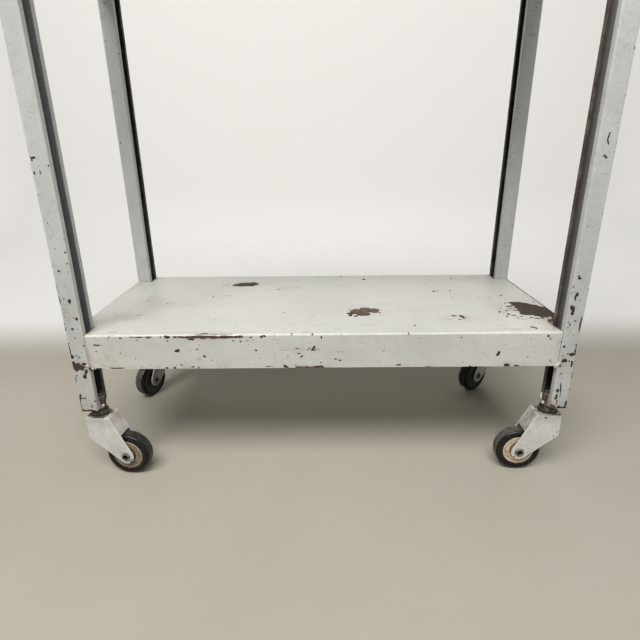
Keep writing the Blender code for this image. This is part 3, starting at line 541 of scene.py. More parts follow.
def rubber(name):
    """Black rubber tyre: tread greyed by scuffs, dust and a painted reflection of the floor, dark glossy shoulder, dust
    on the bead and painted highlight rings.
    """
    s = Shader(name)
    tread = s.painted("tread")
    ring = s.painted("ring")
    grain = s.noise(900, 3, 0.6)
    cloud = s.noise(75, 5, 0.62)
    across = s.noise(320, 3, 0.6, distortion=0.4)
    colour = s.mix(s.line(cloud, 0.3, 0.7), (0.0016, 0.0016, 0.0018), (0.0048, 0.0046, 0.0045))
    # the tread's grey: scuffing and dust, plus a painted reflection of the floor on some wheels
    scuff_and_reflection = s.math("MULTIPLY", tread, s.line(across, 0.32, 0.66, 0.35, 1.0))
    colour = s.mix(scuff_and_reflection, colour, s.mix(s.step(cloud, 0.4, 0.65), (0.150, 0.142, 0.124), (0.062, 0.059, 0.053)))
    # pale rings on the sidewall and shoulder: dust with painted highlights
    dust_and_highlight = s.math("MULTIPLY", ring, s.line(s.noise(190, 4), 0.34, 0.64, 0.10, 0.75))
    colour = s.mix(dust_and_highlight, colour, (0.150, 0.138, 0.115))
    cuts = speck_mask(s, 120, 0.16, 0.12, 9.0)
    colour = s.mix(s.math("MULTIPLY", cuts, 0.6), colour, (0.22, 0.19, 0.15))
    rough = s.math("ADD", s.line(cloud, 0.3, 0.7, 0.17, 0.29), s.math("MULTIPLY", s.math("MAXIMUM", scuff_and_reflection, dust_and_highlight), 0.42))
    normal = s.bump(s.math("SUBTRACT", grain, s.math("MULTIPLY", cuts, 1.5)), 0.00012, 0.8, s.bump(across, 0.00022, 0.6))
    return s.finish(colour, rough, 0.0, normal, 0.26)


def hub_plastic(name):
    """Cream moulded hub, browned by oil and floor grime, darker on the left-hand casters, near black on the rear
    casters and deep in its recess.
    """
    s = Shader(name)
    far = s.painted("recess")
    cloud = s.noise(70, 5, 0.64)
    fine = s.noise(560, 4, 0.65)
    sep = s.node("ShaderNodeSeparateXYZ")
    s._feed(sep.inputs[0], s.place)
    left = s.step(sep.outputs[0], 0.1, -0.1)
    cream = s.mix(s.line(cloud, 0.3, 0.7), (0.48, 0.36, 0.235), (0.66, 0.55, 0.40))
    tan = s.mix(s.line(cloud, 0.3, 0.7), (0.15, 0.105, 0.062), (0.33, 0.25, 0.155))
    colour = s.mix(left, cream, tan)
    # the rear hubs are painted near black
    rear = s.step(sep.outputs[1], -0.05, 0.05)
    colour = s.mix(s.math("MULTIPLY", rear, 0.97), colour, (0.012, 0.011, 0.010))
    grime = s.math("MULTIPLY", s.step(s.noise(120, 5, 0.7), 0.48, 0.66), 0.6)
    colour = s.mix(s.math("MULTIPLY", grime, s.math("SUBTRACT", 1.0, rear)), colour, (0.105, 0.068, 0.040))
    # near black deep in the recess round the boss and in the groove near the rim
    colour = s.mix(s.math("MULTIPLY", far, s.line(cloud, 0.3, 0.7, 0.75, 1.0), clamp=True), colour, (0.020, 0.012, 0.008))
    ring = s.painted("edge")
    colour = s.mix(s.math("MULTIPLY", ring, s.line(fine, 0.3, 0.7, 0.3, 0.9), clamp=True), colour, s.mix(rear, (0.62, 0.55, 0.44), (0.17, 0.16, 0.145)))
    rough = s.line(cloud, 0.3, 0.7, 0.46, 0.68)
    normal = s.bump(fine, 0.0001, 0.8, s.bump(cloud, 0.0003, 0.6))
    return s.finish(colour, rough, 0.0, normal, 0.5)


SHELF_PAINT = enamel("shelf_enamel", (0.575, 0.575, 0.545), (0.490, 0.492, 0.465), 1, gloss=0.40, speck_share=0.05)
LEG_PAINT = enamel("leg_enamel", (0.500, 0.508, 0.500), (0.410, 0.418, 0.415), 2, gloss=0.42, speck_share=0.045, inside=True)
WELD_PAINT = enamel("weld_enamel", (0.78, 0.75, 0.71), (0.52, 0.48, 0.44), 4, gloss=0.36, speck_share=0.4)
FORK_PAINT = caster_paint("fork_enamel")
SOCKET = rusted("socket_steel", (0.50, 0.44, 0.39), (0.088, 0.050, 0.033), (0.012, 0.009, 0.007), metal=0.30, gloss=0.36, cover=0.38, size=120)
STEEL = rusted("worn_steel", (0.34, 0.30, 0.26), (0.17, 0.115, 0.075), (0.050, 0.035, 0.025), metal=0.75, gloss=0.42, cover=0.55)
GREASE = greasy("greasy_steel")
RUBBER = rubber("tyre_rubber")
HUB = hub_plastic("hub_plastic")


# ------------------------------------------------------------ mesh helpers
def make(name, verts, faces, mat, smooth=35):
    """Object from plain lists, with its faces turned outwards."""
    mesh = bpy.data.meshes.new(name)
    mesh.from_pydata([tuple(v) for v in verts], [], faces)
    bm = bmesh.new()
    bm.from_mesh(mesh)
    bmesh.ops.recalc_face_normals(bm, faces=bm.faces)
    bm.to_mesh(mesh)
    bm.free()
    mesh.shade_smooth()
    mesh.set_sharp_from_angle(angle=radians(smooth))
    mesh.materials.append(mat)
    obj = bpy.data.objects.new(name, mesh)
    bpy.context.scene.collection.objects.link(obj)
    return obj


def points(mesh):
    co = np.zeros(len(mesh.vertices) * 3)
    mesh.vertices.foreach_get("co", co)
    return co.reshape(-1, 3)


def rounded(profile, r, closed=True, bits=3):
    """Round the corners of a profile; corners closer together get less."""
    out, n = [], len(profile)
    for i, p in enumerate(profile):
        if not closed and i in (0, n - 1):
            out.append(p)
            continue
        a, b = profile[i - 1], profile[(i + 1) % n]
        va, vb = (a[0] - p[0], a[1] - p[1]), (b[0] - p[0], b[1] - p[1])
        la, lb = sqrt(va[0] ** 2 + va[1] ** 2), sqrt(vb[0] ** 2 + vb[1] ** 2)
        k = min(r, la * 0.42, lb * 0.42)
        s0 = (p[0] + va[0] / la * k, p[1] + va[1] / la * k)
        s1 = (p[0] + vb[0] / lb * k, p[1] + vb[1] / lb * k)
        for j in range(bits + 1):
            t = j / bits
            out.append(((1 - t) ** 2 * s0[0] + 2 * t * (1 - t) * p[0] + t * t * s1[0],
                        (1 - t) ** 2 * s0[1] + 2 * t * (1 - t) * p[1] + t * t * s1[1]))
    return out


def lathe(name, profile, steps, matrix, mat, closed=True, smooth=40):
    """Spin a (radius, height) profile in mm round local Z, then place it."""
    verts, faces, rings = [], [], []
    for r, z in profile:
        if r < 1e-6:
            rings.append([len(verts)])
            verts.append(matrix @ Vector((0, 0, z * MM)))
        else:
            rings.append(list(range(len(verts), len(verts) + steps)))
            for k in range(steps):
                a = 2 * pi * k / steps
                verts.append(matrix @ Vector((r * cos(a) * MM, r * sin(a) * MM, z * MM)))
    pairs = list(zip(rings, rings[1:])) + ([(rings[-1], rings[0])] if closed else [])
    for a, b in pairs:
        for k in range(steps):
            n = (k + 1) % steps
            if len(a) == 1:
                faces.append((a[0], b[k], b[n]))
            elif len(b) == 1:
                faces.append((a[k], a[n], b[0]))
            else:
                faces.append((a[k], a[n], b[n], b[k]))
    return make(name, verts, faces, mat, smooth)


def node_shape(node):
    """The flat-sided shape of a CAD node, its triangles merged back into faces."""
    bm = bmesh.new()
    bm.from_mesh(frame["nodes"][node].data)
    bmesh.ops.remove_doubles(bm, verts=bm.verts, dist=3e-6)
    bmesh.ops.dissolve_limit(bm, angle_limit=radians(0.4), verts=bm.verts, edges=bm.edges)
    return bm


def sharp_edges(bm, angle=30):
    return [e for e in bm.edges if len(e.link_faces) == 2 and e.calc_face_angle(0) > radians(angle)]


def refine(bm, longest, rounds=14):
    """Split long edges at the middle until the mesh can carry painted wear."""
    bmesh.ops.triangulate(bm, faces=bm.faces)
    for _ in range(rounds):
        long = sorted((e for e in bm.edges if e.calc_length() > longest and len(e.link_faces) == 2), key=lambda e: -e.calc_length())
        if not long:
            break
        for e in long:
            sides = [(f, next(v for v in f.verts if v not in e.verts)) for f in e.link_faces]
            _, mid = bmesh.utils.edge_split(e, e.verts[0], 0.5)
            for f, tip in sides:
                bmesh.utils.face_split(f, mid, tip)
    # a split that lands beside a neighbouring corner leaves a hair-thin pair of faces
    bmesh.ops.remove_doubles(bm, verts=bm.verts, dist=4e-6)


def close_up(bm):
    """Mend the few slivers a bevel leaves, so that the mesh is closed again."""
    for _ in range(8):
        bad = [e for e in bm.edges if not e.is_manifold]
        if not bad:
            break
        bm.verts.index_update()
        seen, doomed = set(), set()
        for f in sorted({f for e in bad for f in e.link_faces}, key=lambda f: f.index):
            key = frozenset(v.index for v in f.verts)
            if key in seen:
                doomed.add(f)
            seen.add(key)
        for e in bad:
            spare = sorted((f for f in e.link_faces if f not in doomed), key=lambda f: f.calc_area())
            doomed.update(spare[:max(0, len(spare) - 2)])
        bmesh.ops.delete(bm, geom=list(doomed), context="FACES_ONLY")
        loose = [e for e in bm.edges if not e.link_faces]
        bmesh.ops.delete(bm, geom=loose, context="EDGES")
        bmesh.ops.delete(bm, geom=[v for v in bm.verts if not v.link_edges], context="VERTS")
        rim = [e for e in bm.edges if len(e.link_faces) == 1]
        made = bmesh.ops.holes_fill(bm, edges=rim, sides=0)["faces"]
        bmesh.ops.triangulate(bm, faces=[f for f in made if f.is_valid and len(f.verts) > 3])
        bm.faces.index_update()


def edge_wear(pos, segments, reach):
    """Closeness of each point to the given edges, 1 on them."""
    tree_points = []
    for a, b in segments:
        n = max(2, int((b - a).length / 0.0008))
        tree_points += [a.lerp(b, k / n) for k in range(n + 1)]
    tree = KDTree(len(tree_points))
    for i, p in enumerate(tree_points):
        tree.insert(p, i)
    tree.balance()
    return np.array([exp(-(tree.find(Vector(p))[2] / reach) ** 2) for p in pos])


def from_bmesh(name, bm, mat, smooth=35):
    bmesh.ops.recalc_face_normals(bm, faces=bm.faces)
    mesh = bpy.data.meshes.new(name)
    bm.to_mesh(mesh)
    bm.free()
    mesh.shade_smooth()
    mesh.set_sharp_from_angle(angle=radians(smooth))
    mesh.materials.append(mat)
    obj = bpy.data.objects.new(name, mesh)
    bpy.context.scene.collection.objects.link(obj)
    return obj


def adopt(obj, body, slot, *nodes):
    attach(obj, body)
    if nodes:
        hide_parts(*nodes)
    return obj


GAUGE = 1.5
FOLD = 2.5
FOLD_ANGLES = [radians(90 * k / 5) for k in range(6)]


def spread(a, b, step):
    n = max(1, int(round((b - a) / step)))
    return [a + (b - a) * k / n for k in range(n + 1)]


def joined(*runs):
    out = list(runs[0])
    for r in runs[1:]:
        out += list(r)[1:]
    return out


# ------------------------------------------------------------ lower shelf
def lower_shelf():
    top = SHELF_TOP / MM
    hx = (HIGH.x - LOW.x) / 2 / MM
    hy = (HIGH.y - LOW.y) / 2 / MM
    drop = (HIGH.z - LOW.z) / MM
    leg_lo, leg_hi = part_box("leg_front_left")
    nx = hx - (leg_hi.x - leg_lo.x) / MM - 1.6           # inner side of the notches
    ny = hy - 0.5 - (leg_hi.y - leg_lo.y) / MM - 1.0     # back of the notches
    ex, ey = hx - FOLD, hy - FOLD                        # where the folds start
    xs = joined(spread(-ex, -nx, 2.9), spread(-nx, nx, 1.66), spread(nx, ex, 2.9))
    ys = joined(spread(-ey, -ny, 3.0), spread(-ny, ny, 3.0), spread(ny, ey, 3.0))
    verts, flat, faces = [], [], []

    def add(x, y, z, nrm):
        verts.append((x, y, z))
        flat.append(nrm)
        return len(verts) - 1

    grid = {}
    for i, x in enumerate(xs):
        for j, y in enumerate(ys):
            if abs(x) <= nx + 0.01 or abs(y) <= ny + 0.01:
                grid[i, j] = add(x, y, top, (0, 0, 1))
    for i in range(len(xs) - 1):
        for j in range(len(ys) - 1):
            mx, my = (xs[i] + xs[i + 1]) / 2, (ys[j] + ys[j + 1]) / 2
            if abs(mx) < nx or abs(my) < ny:
                faces.append((grid[i, j], grid[i + 1, j], grid[i + 1, j + 1], grid[i, j + 1]))
    ix = [i for i, x in enumerate(xs) if abs(x) <= nx + 0.01]
    jy = [j for j, y in enumerate(ys) if abs(y) <= ny + 0.01]
    last_i, last_j = len(xs) - 1, len(ys) - 1

    def apron(line, out, rows):
        """Fold and apron hanging from a line of top vertices; returns its rows."""
        made = [line]
        for a in FOLD_ANGLES[1:]:
            made.append([add(verts[v][0] + out[0] * FOLD * sin(a), verts[v][1] + out[1] * FOLD * sin(a), top - FOLD * (1 - cos(a)),
                             (out[0] * sin(a), out[1] * sin(a), cos(a))) for v in line])
        for z in rows[1:]:
            made.append([add(verts[v][0] + out[0] * FOLD, verts[v][1] + out[1] * FOLD, z, (out[0], out[1], 0)) for v in line])
        for a, b in zip(made, made[1:]):
            for k in range(len(a) - 1):
                faces.append((a[k], b[k], b[k + 1], a[k + 1]))
        return made

    fine = [top - FOLD - (drop - FOLD) * k / 36 for k in range(37)]
    mid = [top - FOLD - (drop - FOLD) * k / 18 for k in range(19)]
    few = [top - FOLD - (drop - FOLD) * k / 14 for k in range(15)]
    front = apron([grid[i, 0] for i in ix], (0, -1), fine)
    back = apron([grid[i, last_j] for i in reversed(ix)], (0, 1), few)
    right = apron([grid[last_i, j] for j in jy], (1, 0), mid)
    left = apron([grid[0, j] for j in reversed(jy)], (-1, 0), mid)

    # slight unevenness of the sheet, then the inner skin a gauge behind
    p = np.array(verts)
    nrm = np.array(flat, float)
    off = 0.32 * fbm(p, 130.0, 11, 2) + 0.10 * fbm(p, 34.0, 12, 2)
    p = p + nrm * (off * 0.8)[:, None]
    verts = [tuple(v) for v in p]
    first_inner = len(verts)
    partner = {}

    def inner(v):
        if v not in partner:
            partner[v] = len(verts)
            verts.append(tuple(np.array(verts[v]) - GAUGE * nrm[v]))
        return partner[v]

    def walk(i0, j0, i1, j1):
        """Top vertices along a straight grid line, without the last."""
        if i0 == i1:
            step = 1 if j1 > j0 else -1
            return [grid[i0, j] for j in range(j0, j1, step)]
        step = 1 if i1 > i0 else -1
        return [grid[i, j0] for i in range(i0, i1, step)]

    a, b, c, d = ix[0], ix[-1], jy[0], jy[-1]
    loop = walk(a, 0, b, 0) + walk(b, 0, b, c) + walk(b, c, last_i, c) + walk(last_i, c, last_i, d)
    loop += walk(last_i, d, b, d) + walk(b, d, b, last_j) + walk(b, last_j, a, last_j) + walk(a, last_j, a, d)
    loop += walk(a, d, 0, d) + walk(0, d, 0, c) + walk(0, c, a, c) + walk(a, c, a, 0)
    skin = [[inner(v) for v in reversed(loop)]]
    folds = len(FOLD_ANGLES)
    for rows in (front, back, right, left):
        for r0, r1 in zip(rows[:folds - 1], rows[1:folds]):
            for k in range(len(r0) - 1):
                skin.append((inner(r0[k]), inner(r0[k + 1]), inner(r1[k + 1]), inner(r1[k])))
        face = rows[folds - 1:]
        ring = list(face[0]) + [r[-1] for r in face[1:-1]] + list(reversed(face[-1])) + [r[0] for r in reversed(face[1:-1])]
        skin.append([inner(v) for v in ring])
    # rim: every open edge of the outer skin is tied to the inner skin
    count = {}
    for f in faces:
        for k in range(len(f)):
            e = (f[k], f[(k + 1) % len(f)])
            key = (min(e), max(e))
            count[key] = None if key in count else e
    for e in count.values():
        if e is not None:
            skin.append((e[1], e[0], inner(e[0]), inner(e[1])))
    faces += skin
    world = [((x * MM) + CX, y * MM, z * MM) for x, y, z in verts]
    obj = make("lower_shelf_sheet", world, faces, SHELF_PAINT, 38)

    # painted wear
    q = np.array(verts)
    n = len(q)
    depth, brown, stain, edge = np.full(n, -8.0), np.zeros(n), np.zeros(n), np.zeros(n)
    outer = np.arange(n) < first_inner
    is_top = outer & (q[:, 2] > top - 1.2) & (np.abs(q[:, 1]) < ey + 2.0)
    is_front = outer & (q[:, 1] < -ey + 0.01)
    specks = scatter(21, 34, -370, 90, 206, 256, 0.7, 1.8) + scatter(22, 46, -370, 60, 203.5, 214, 0.7, 2.4)
    specks += scatter(23, 18, -365, 100, 255, 261, 0.8, 2.2)
    seen = [(c[0], c[1], max(2.1, c[2] * 1.12), max(2.0, c[3] * 1.15), *c[4:]) for c in APRON_CHIPS]
    d, br = chip_field(q[is_front][:, [0, 2]], seen + specks, 31)
    depth[is_front], brown[is_front] = d, br
    top_specks = scatter(24, 36, -390, 390, -170, 170, 0.8, 2.2) + scatter(25, 60, 290, 396, -120, 30, 0.9, 4.5, (0.2, 0.7))
    top_specks += scatter(26, 22, -370, -240, -60, 60, 0.9, 3.0, (0.1, 0.5)) + scatter(27, 24, 210, 300, -120, 60, 0.8, 3.0)
    d, br = chip_field(q[is_top][:, [0, 1]], TOP_CHIPS + top_specks, 41)
    better = d > depth[is_top]
    dd, bb = depth[is_top], brown[is_top]
    dd[better], bb[better] = d[better], br[better]
    depth[is_top], brown[is_top] = dd, bb
    stain[is_top] = np.maximum(stain[is_top], soft_field(q[is_top][:, [0, 1]], TOP_STAINS, 51))
    stain[is_front] = np.maximum(stain[is_front], soft_field(q[is_front][:, [0, 2]], APRON_STAINS, 52))
    # side edge of the top: a dark bare line where the fold has worn through
    line = np.full(n, -8.0)
    right_edge = outer & (q[:, 0] > ex - 4)
    worn = fbm(q, 7.0, 61, 3)
    line[right_edge] = 2.3 - np.abs(q[right_edge, 0] - (ex + 0.8)) - 0.35 * np.abs(q[right_edge, 2] - top) + 1.0 * worn[right_edge]
    left_edge = outer & (q[:, 0] < 4 - ex)
    line[left_edge] = 1.0 - np.abs(q[left_edge, 0] + ex + 0.8) - 0.35 * np.abs(q[left_edge, 2] - top) + 0.9 * worn[left_edge]
    depth = np.maximum(depth, line)
    brown[(line > -2) & right_edge] = 0.35
    # the back and side aprons
    for pick, axes, seed in ((outer & (q[:, 1] > ey + 1), (0, 2), 71), (outer & (q[:, 0] > ex + 1), (1, 2), 72), (outer & (q[:, 0] < -ex - 1), (1, 2), 73)):
        span = nx if axes[0] == 0 else ny
        count_big = 70 if axes[0] == 0 else 34
        chips = scatter(seed, count_big, -span, span, 205, 262, 0.9, 3.4) + scatter(seed + 5, count_big // 2, -span, span, 203.5, 209, 1.2, 5.0, (0.2, 0.9))
        chips += scatter(seed + 9, count_big // 3, -span, span, 257, 261.5, 1.2, 4.6, (0.1, 0.7))
        d, br = chip_field(q[pick][:, list(axes)], chips, seed)
        dd, bb = depth[pick], brown[pick]
        better = d > dd
        dd[better], bb[better] = d[better], br[better]
        depth[pick], brown[pick] = dd, bb
        stain[pick] = np.maximum(stain[pick], soft_field(q[pick][:, list(axes)], [(-span * 0.6, 210, 120, 20, 0.4), (span * 0.4, 215, 90, 26, 0.35), (span, 235, 20, 60, 0.5), (-span, 235, 20, 60, 0.5)], seed + 3))
    # lighter along the top folds and the lower rim: worn paint and a painted highlight
    along = np.minimum(np.abs(np.abs(q[:, 1]) - (ey + 1.0)), np.abs(np.abs(q[:, 0]) - (ex + 1.0)))
    edge[outer] = 0.75 * np.exp(-((along[outer]) / 1.7) ** 2) * (q[outer, 2] > top - 2.2)
    edge[outer] += 0.35 * np.exp(-((q[outer, 2] - (top - drop)) / 1.0) ** 2)
    # grime in the notches round the legs and a rusty lower rim
    close = np.exp(-((nx - np.abs(q[:, 0])) / 4.0) ** 2) * (np.abs(q[:, 1]) > ny - 3) * (np.abs(q[:, 0]) <= nx + 0.1) * (q[:, 2] > top - 1.5)
    stain = np.clip(stain + 0.75 * close * outer, 0, 1)
    edge[~outer] = 0.0
    stain[~outer] = 0.35
    for name, values in (("chip", depth), ("brown", brown), ("stain", stain), ("edge", edge)):
        attribute(obj.data, name, values)
    adopt(obj, "root", "shelf_enamel", "lower_shelf")


# ------------------------------------------------------------ upper shelf
def upper_shelf():
    lo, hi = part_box("upper_shelf")
    top = hi.z / MM
    hx, hy = (hi.x - lo.x) / 2 / MM, (hi.y - lo.y) / 2 / MM
    drop = (hi.z - lo.z) / MM
    rc = 4.0
    bx, by = hx - rc, hy - rc
    xs, ys = spread(-bx, bx, 2.5), spread(-by, by, 3.2)
    verts, nrm, faces = [], [], []
    index = {}
    for i, x in enumerate(xs):
        for j, y in enumerate(ys):
            index[i, j] = len(verts)
            verts.append((x, y, top))
            nrm.append((0, 0, 1))
    for i in range(len(xs) - 1):
        for j in range(len(ys) - 1):
            faces.append((index[i, j], index[i + 1, j], index[i + 1, j + 1], index[i, j + 1]))
    li, lj = len(xs) - 1, len(ys) - 1
    # stations round the rim: the grid vertex they hang from and the way out
    stations = []
    sides = [([index[i, 0] for i in range(li + 1)], 270), ([index[li, j] for j in range(lj + 1)], 0),
             ([index[i, lj] for i in range(li, -1, -1)], 90), ([index[0, j] for j in range(lj, -1, -1)], 180)]
    for line, deg in sides:
        a = radians(deg)
        stations += [(v, cos(a), sin(a)) for v in line]
        for k in range(1, 6):
            b = radians(deg + 90 * k / 6)
            stations.append((line[-1], cos(b), sin(b)))
    rings = []
    levels = [(rc - FOLD + FOLD * sin(a), top - FOLD * (1 - cos(a)), sin(a), cos(a)) for a in FOLD_ANGLES]
    levels += [(rc, top - FOLD - (drop - FOLD) * k / 22, 1.0, 0.0) for k in range(1, 23)]
    base = list(verts)
    for out, z, s, c in levels:
        ring = []
        for v, ox, oy in stations:
            ring.append(len(verts))
            verts.append((base[v][0] + ox * out, base[v][1] + oy * out, z))
            nrm.append((ox * s, oy * s, c))
        rings.append(ring)
    m = len(stations)
    for k in range(m):
        n = (k + 1) % m
        a, b = stations[k][0], stations[n][0]
        if a == b:
            faces.append((a, rings[0][k], rings[0][n]))
        else:
            faces.append((a, rings[0][k], rings[0][n], b))
    for r0, r1 in zip(rings, rings[1:]):
        for k in range(m):
            n = (k + 1) % m
            faces.append((r0[k], r1[k], r1[n], r0[n]))
    p, nn = np.array(verts), np.array(nrm, float)
    off = 0.34 * fbm(p, 140.0, 15, 2) + 0.10 * fbm(p, 36.0, 16, 2) - 0.2
    p = p + nn * (off * 0.6)[:, None]
    outer_count = len(p)
    ins = {}
    verts = [tuple(v) for v in p]

    def inner(v):
        if v not in ins:
            ins[v] = len(verts)
            verts.append(tuple(np.array(verts[v]) - GAUGE * nn[v]))
        return ins[v]

    folds = len(FOLD_ANGLES)
    faces.append([inner(v) for v in reversed(rings[0])])
    for r0, r1 in list(zip(rings[:folds - 1], rings[1:folds])) + [(rings[folds - 1], rings[-1])]:
        for k in range(m):
            n = (k + 1) % m
            faces.append((inner(r0[k]), inner(r0[n]), inner(r1[n]), inner(r1[k])))
    for k in range(m):
        n = (k + 1) % m
        faces.append((rings[-1][k], inner(rings[-1][k]), inner(rings[-1][n]), rings[-1][n]))
    world = [((x * MM) + CX, y * MM, z * MM) for x, y, z in verts]
    obj = make("upper_shelf_sheet", world, faces, SHELF_PAINT, 38)
    q = np.array(verts)
    n = len(q)
    outer = np.arange(n) < outer_count
    depth, brown, stain, edge = np.full(n, -8.0), np.zeros(n), np.zeros(n), np.zeros(n)
    is_top = outer & (q[:, 2] > top - 1.3)
    picks = [
        (is_top, (0, 1), scatter(81, 80, -390, 390, -170, 170, 0.8, 2.6) + scatter(82, 9, -360, 360, -150, 150, 7.0, 20.0, (0.4, 0.9))
         + [(-120, 60, 30, 24, 0.8), (-104, 54, 18, 16, 0.8), (210, -90, 36, 18, 0.6), (228, -82, 14, 18, 0.6), (300, 110, 16, 26, 0.5)]),
        (outer & (q[:, 1] < -by - 1.0), (0, 2), scatter(83, 70, -390, 390, 808, 860, 0.8, 3.0) + scatter(84, 40, -390, 390, 806.5, 812, 1.0, 5.0, (0.2, 0.9)) + scatter(85, 30, -390, 390, 858, 863, 1.2, 6.0, (0.1, 0.7))
         + [(120, 861, 60, 2.6, 0.7), (-250, 861, 34, 2.0, 0.5)]),
        (outer & (q[:, 1] > by + 1.0), (0, 2), scatter(86, 70, -390, 390, 808, 860, 0.8, 3.4) + scatter(87, 40, -390, 390, 806.5, 812, 1.0, 5.0, (0.2, 0.9)) + scatter(88, 20, -390, 390, 858, 863, 1.2, 6.0)),
        (outer & (q[:, 0] < -bx - 1.0), (1, 2), scatter(89, 34, -170, 170, 808, 860, 0.8, 3.4) + scatter(90, 20, -170, 170, 806.5, 812, 1.0, 5.0, (0.2, 0.9)) + scatter(91, 14, -170, 170, 858, 863, 1.2, 6.0)),
        (outer & (q[:, 0] > bx + 1.0), (1, 2), scatter(92, 34, -170, 170, 808, 860, 0.8, 3.4) + scatter(93, 20, -170, 170, 806.5, 812, 1.0, 5.0, (0.2, 0.9)) + scatter(94, 14, -170, 170, 858, 863, 1.2, 6.0)),
    ]
    for pick, axes, chips in picks:
        d, br = chip_field(q[pick][:, list(axes)], chips, 95 + axes[1])
        dd, bb = depth[pick], brown[pick]
        better = d > dd
        dd[better], bb[better] = d[better], br[better]
        depth[pick], brown[pick] = dd, bb
    stain[is_top] = soft_field(q[is_top][:, [0, 1]], [(-120, 58, 90, 70, 0.4), (215, -86, 90, 60, 0.4), (-300, -60, 150, 120, 0.3), (60, 20, 260, 160, 0.12), (300, 110, 70, 80, 0.35)], 97)
    # lighter along the top folds and the lower rim: worn paint and a painted highlight
    along = np.minimum(np.abs(np.abs(q[:, 1]) - (hy - 1.2)), np.abs(np.abs(q[:, 0]) - (hx - 1.2)))
    edge[outer] = 0.75 * np.exp(-(along[outer] / 1.7) ** 2) * (q[outer, 2] > top - 2.4)
    edge[outer] += 0.35 * np.exp(-((q[outer, 2] - (top - drop)) / 1.0) ** 2)
    stain[~outer] = 0.35
    for name, values in (("chip", depth), ("brown", brown), ("stain", stain), ("edge", edge)):
        attribute(obj.data, name, values)
    adopt(obj, "root", "shelf_enamel", "upper_shelf")


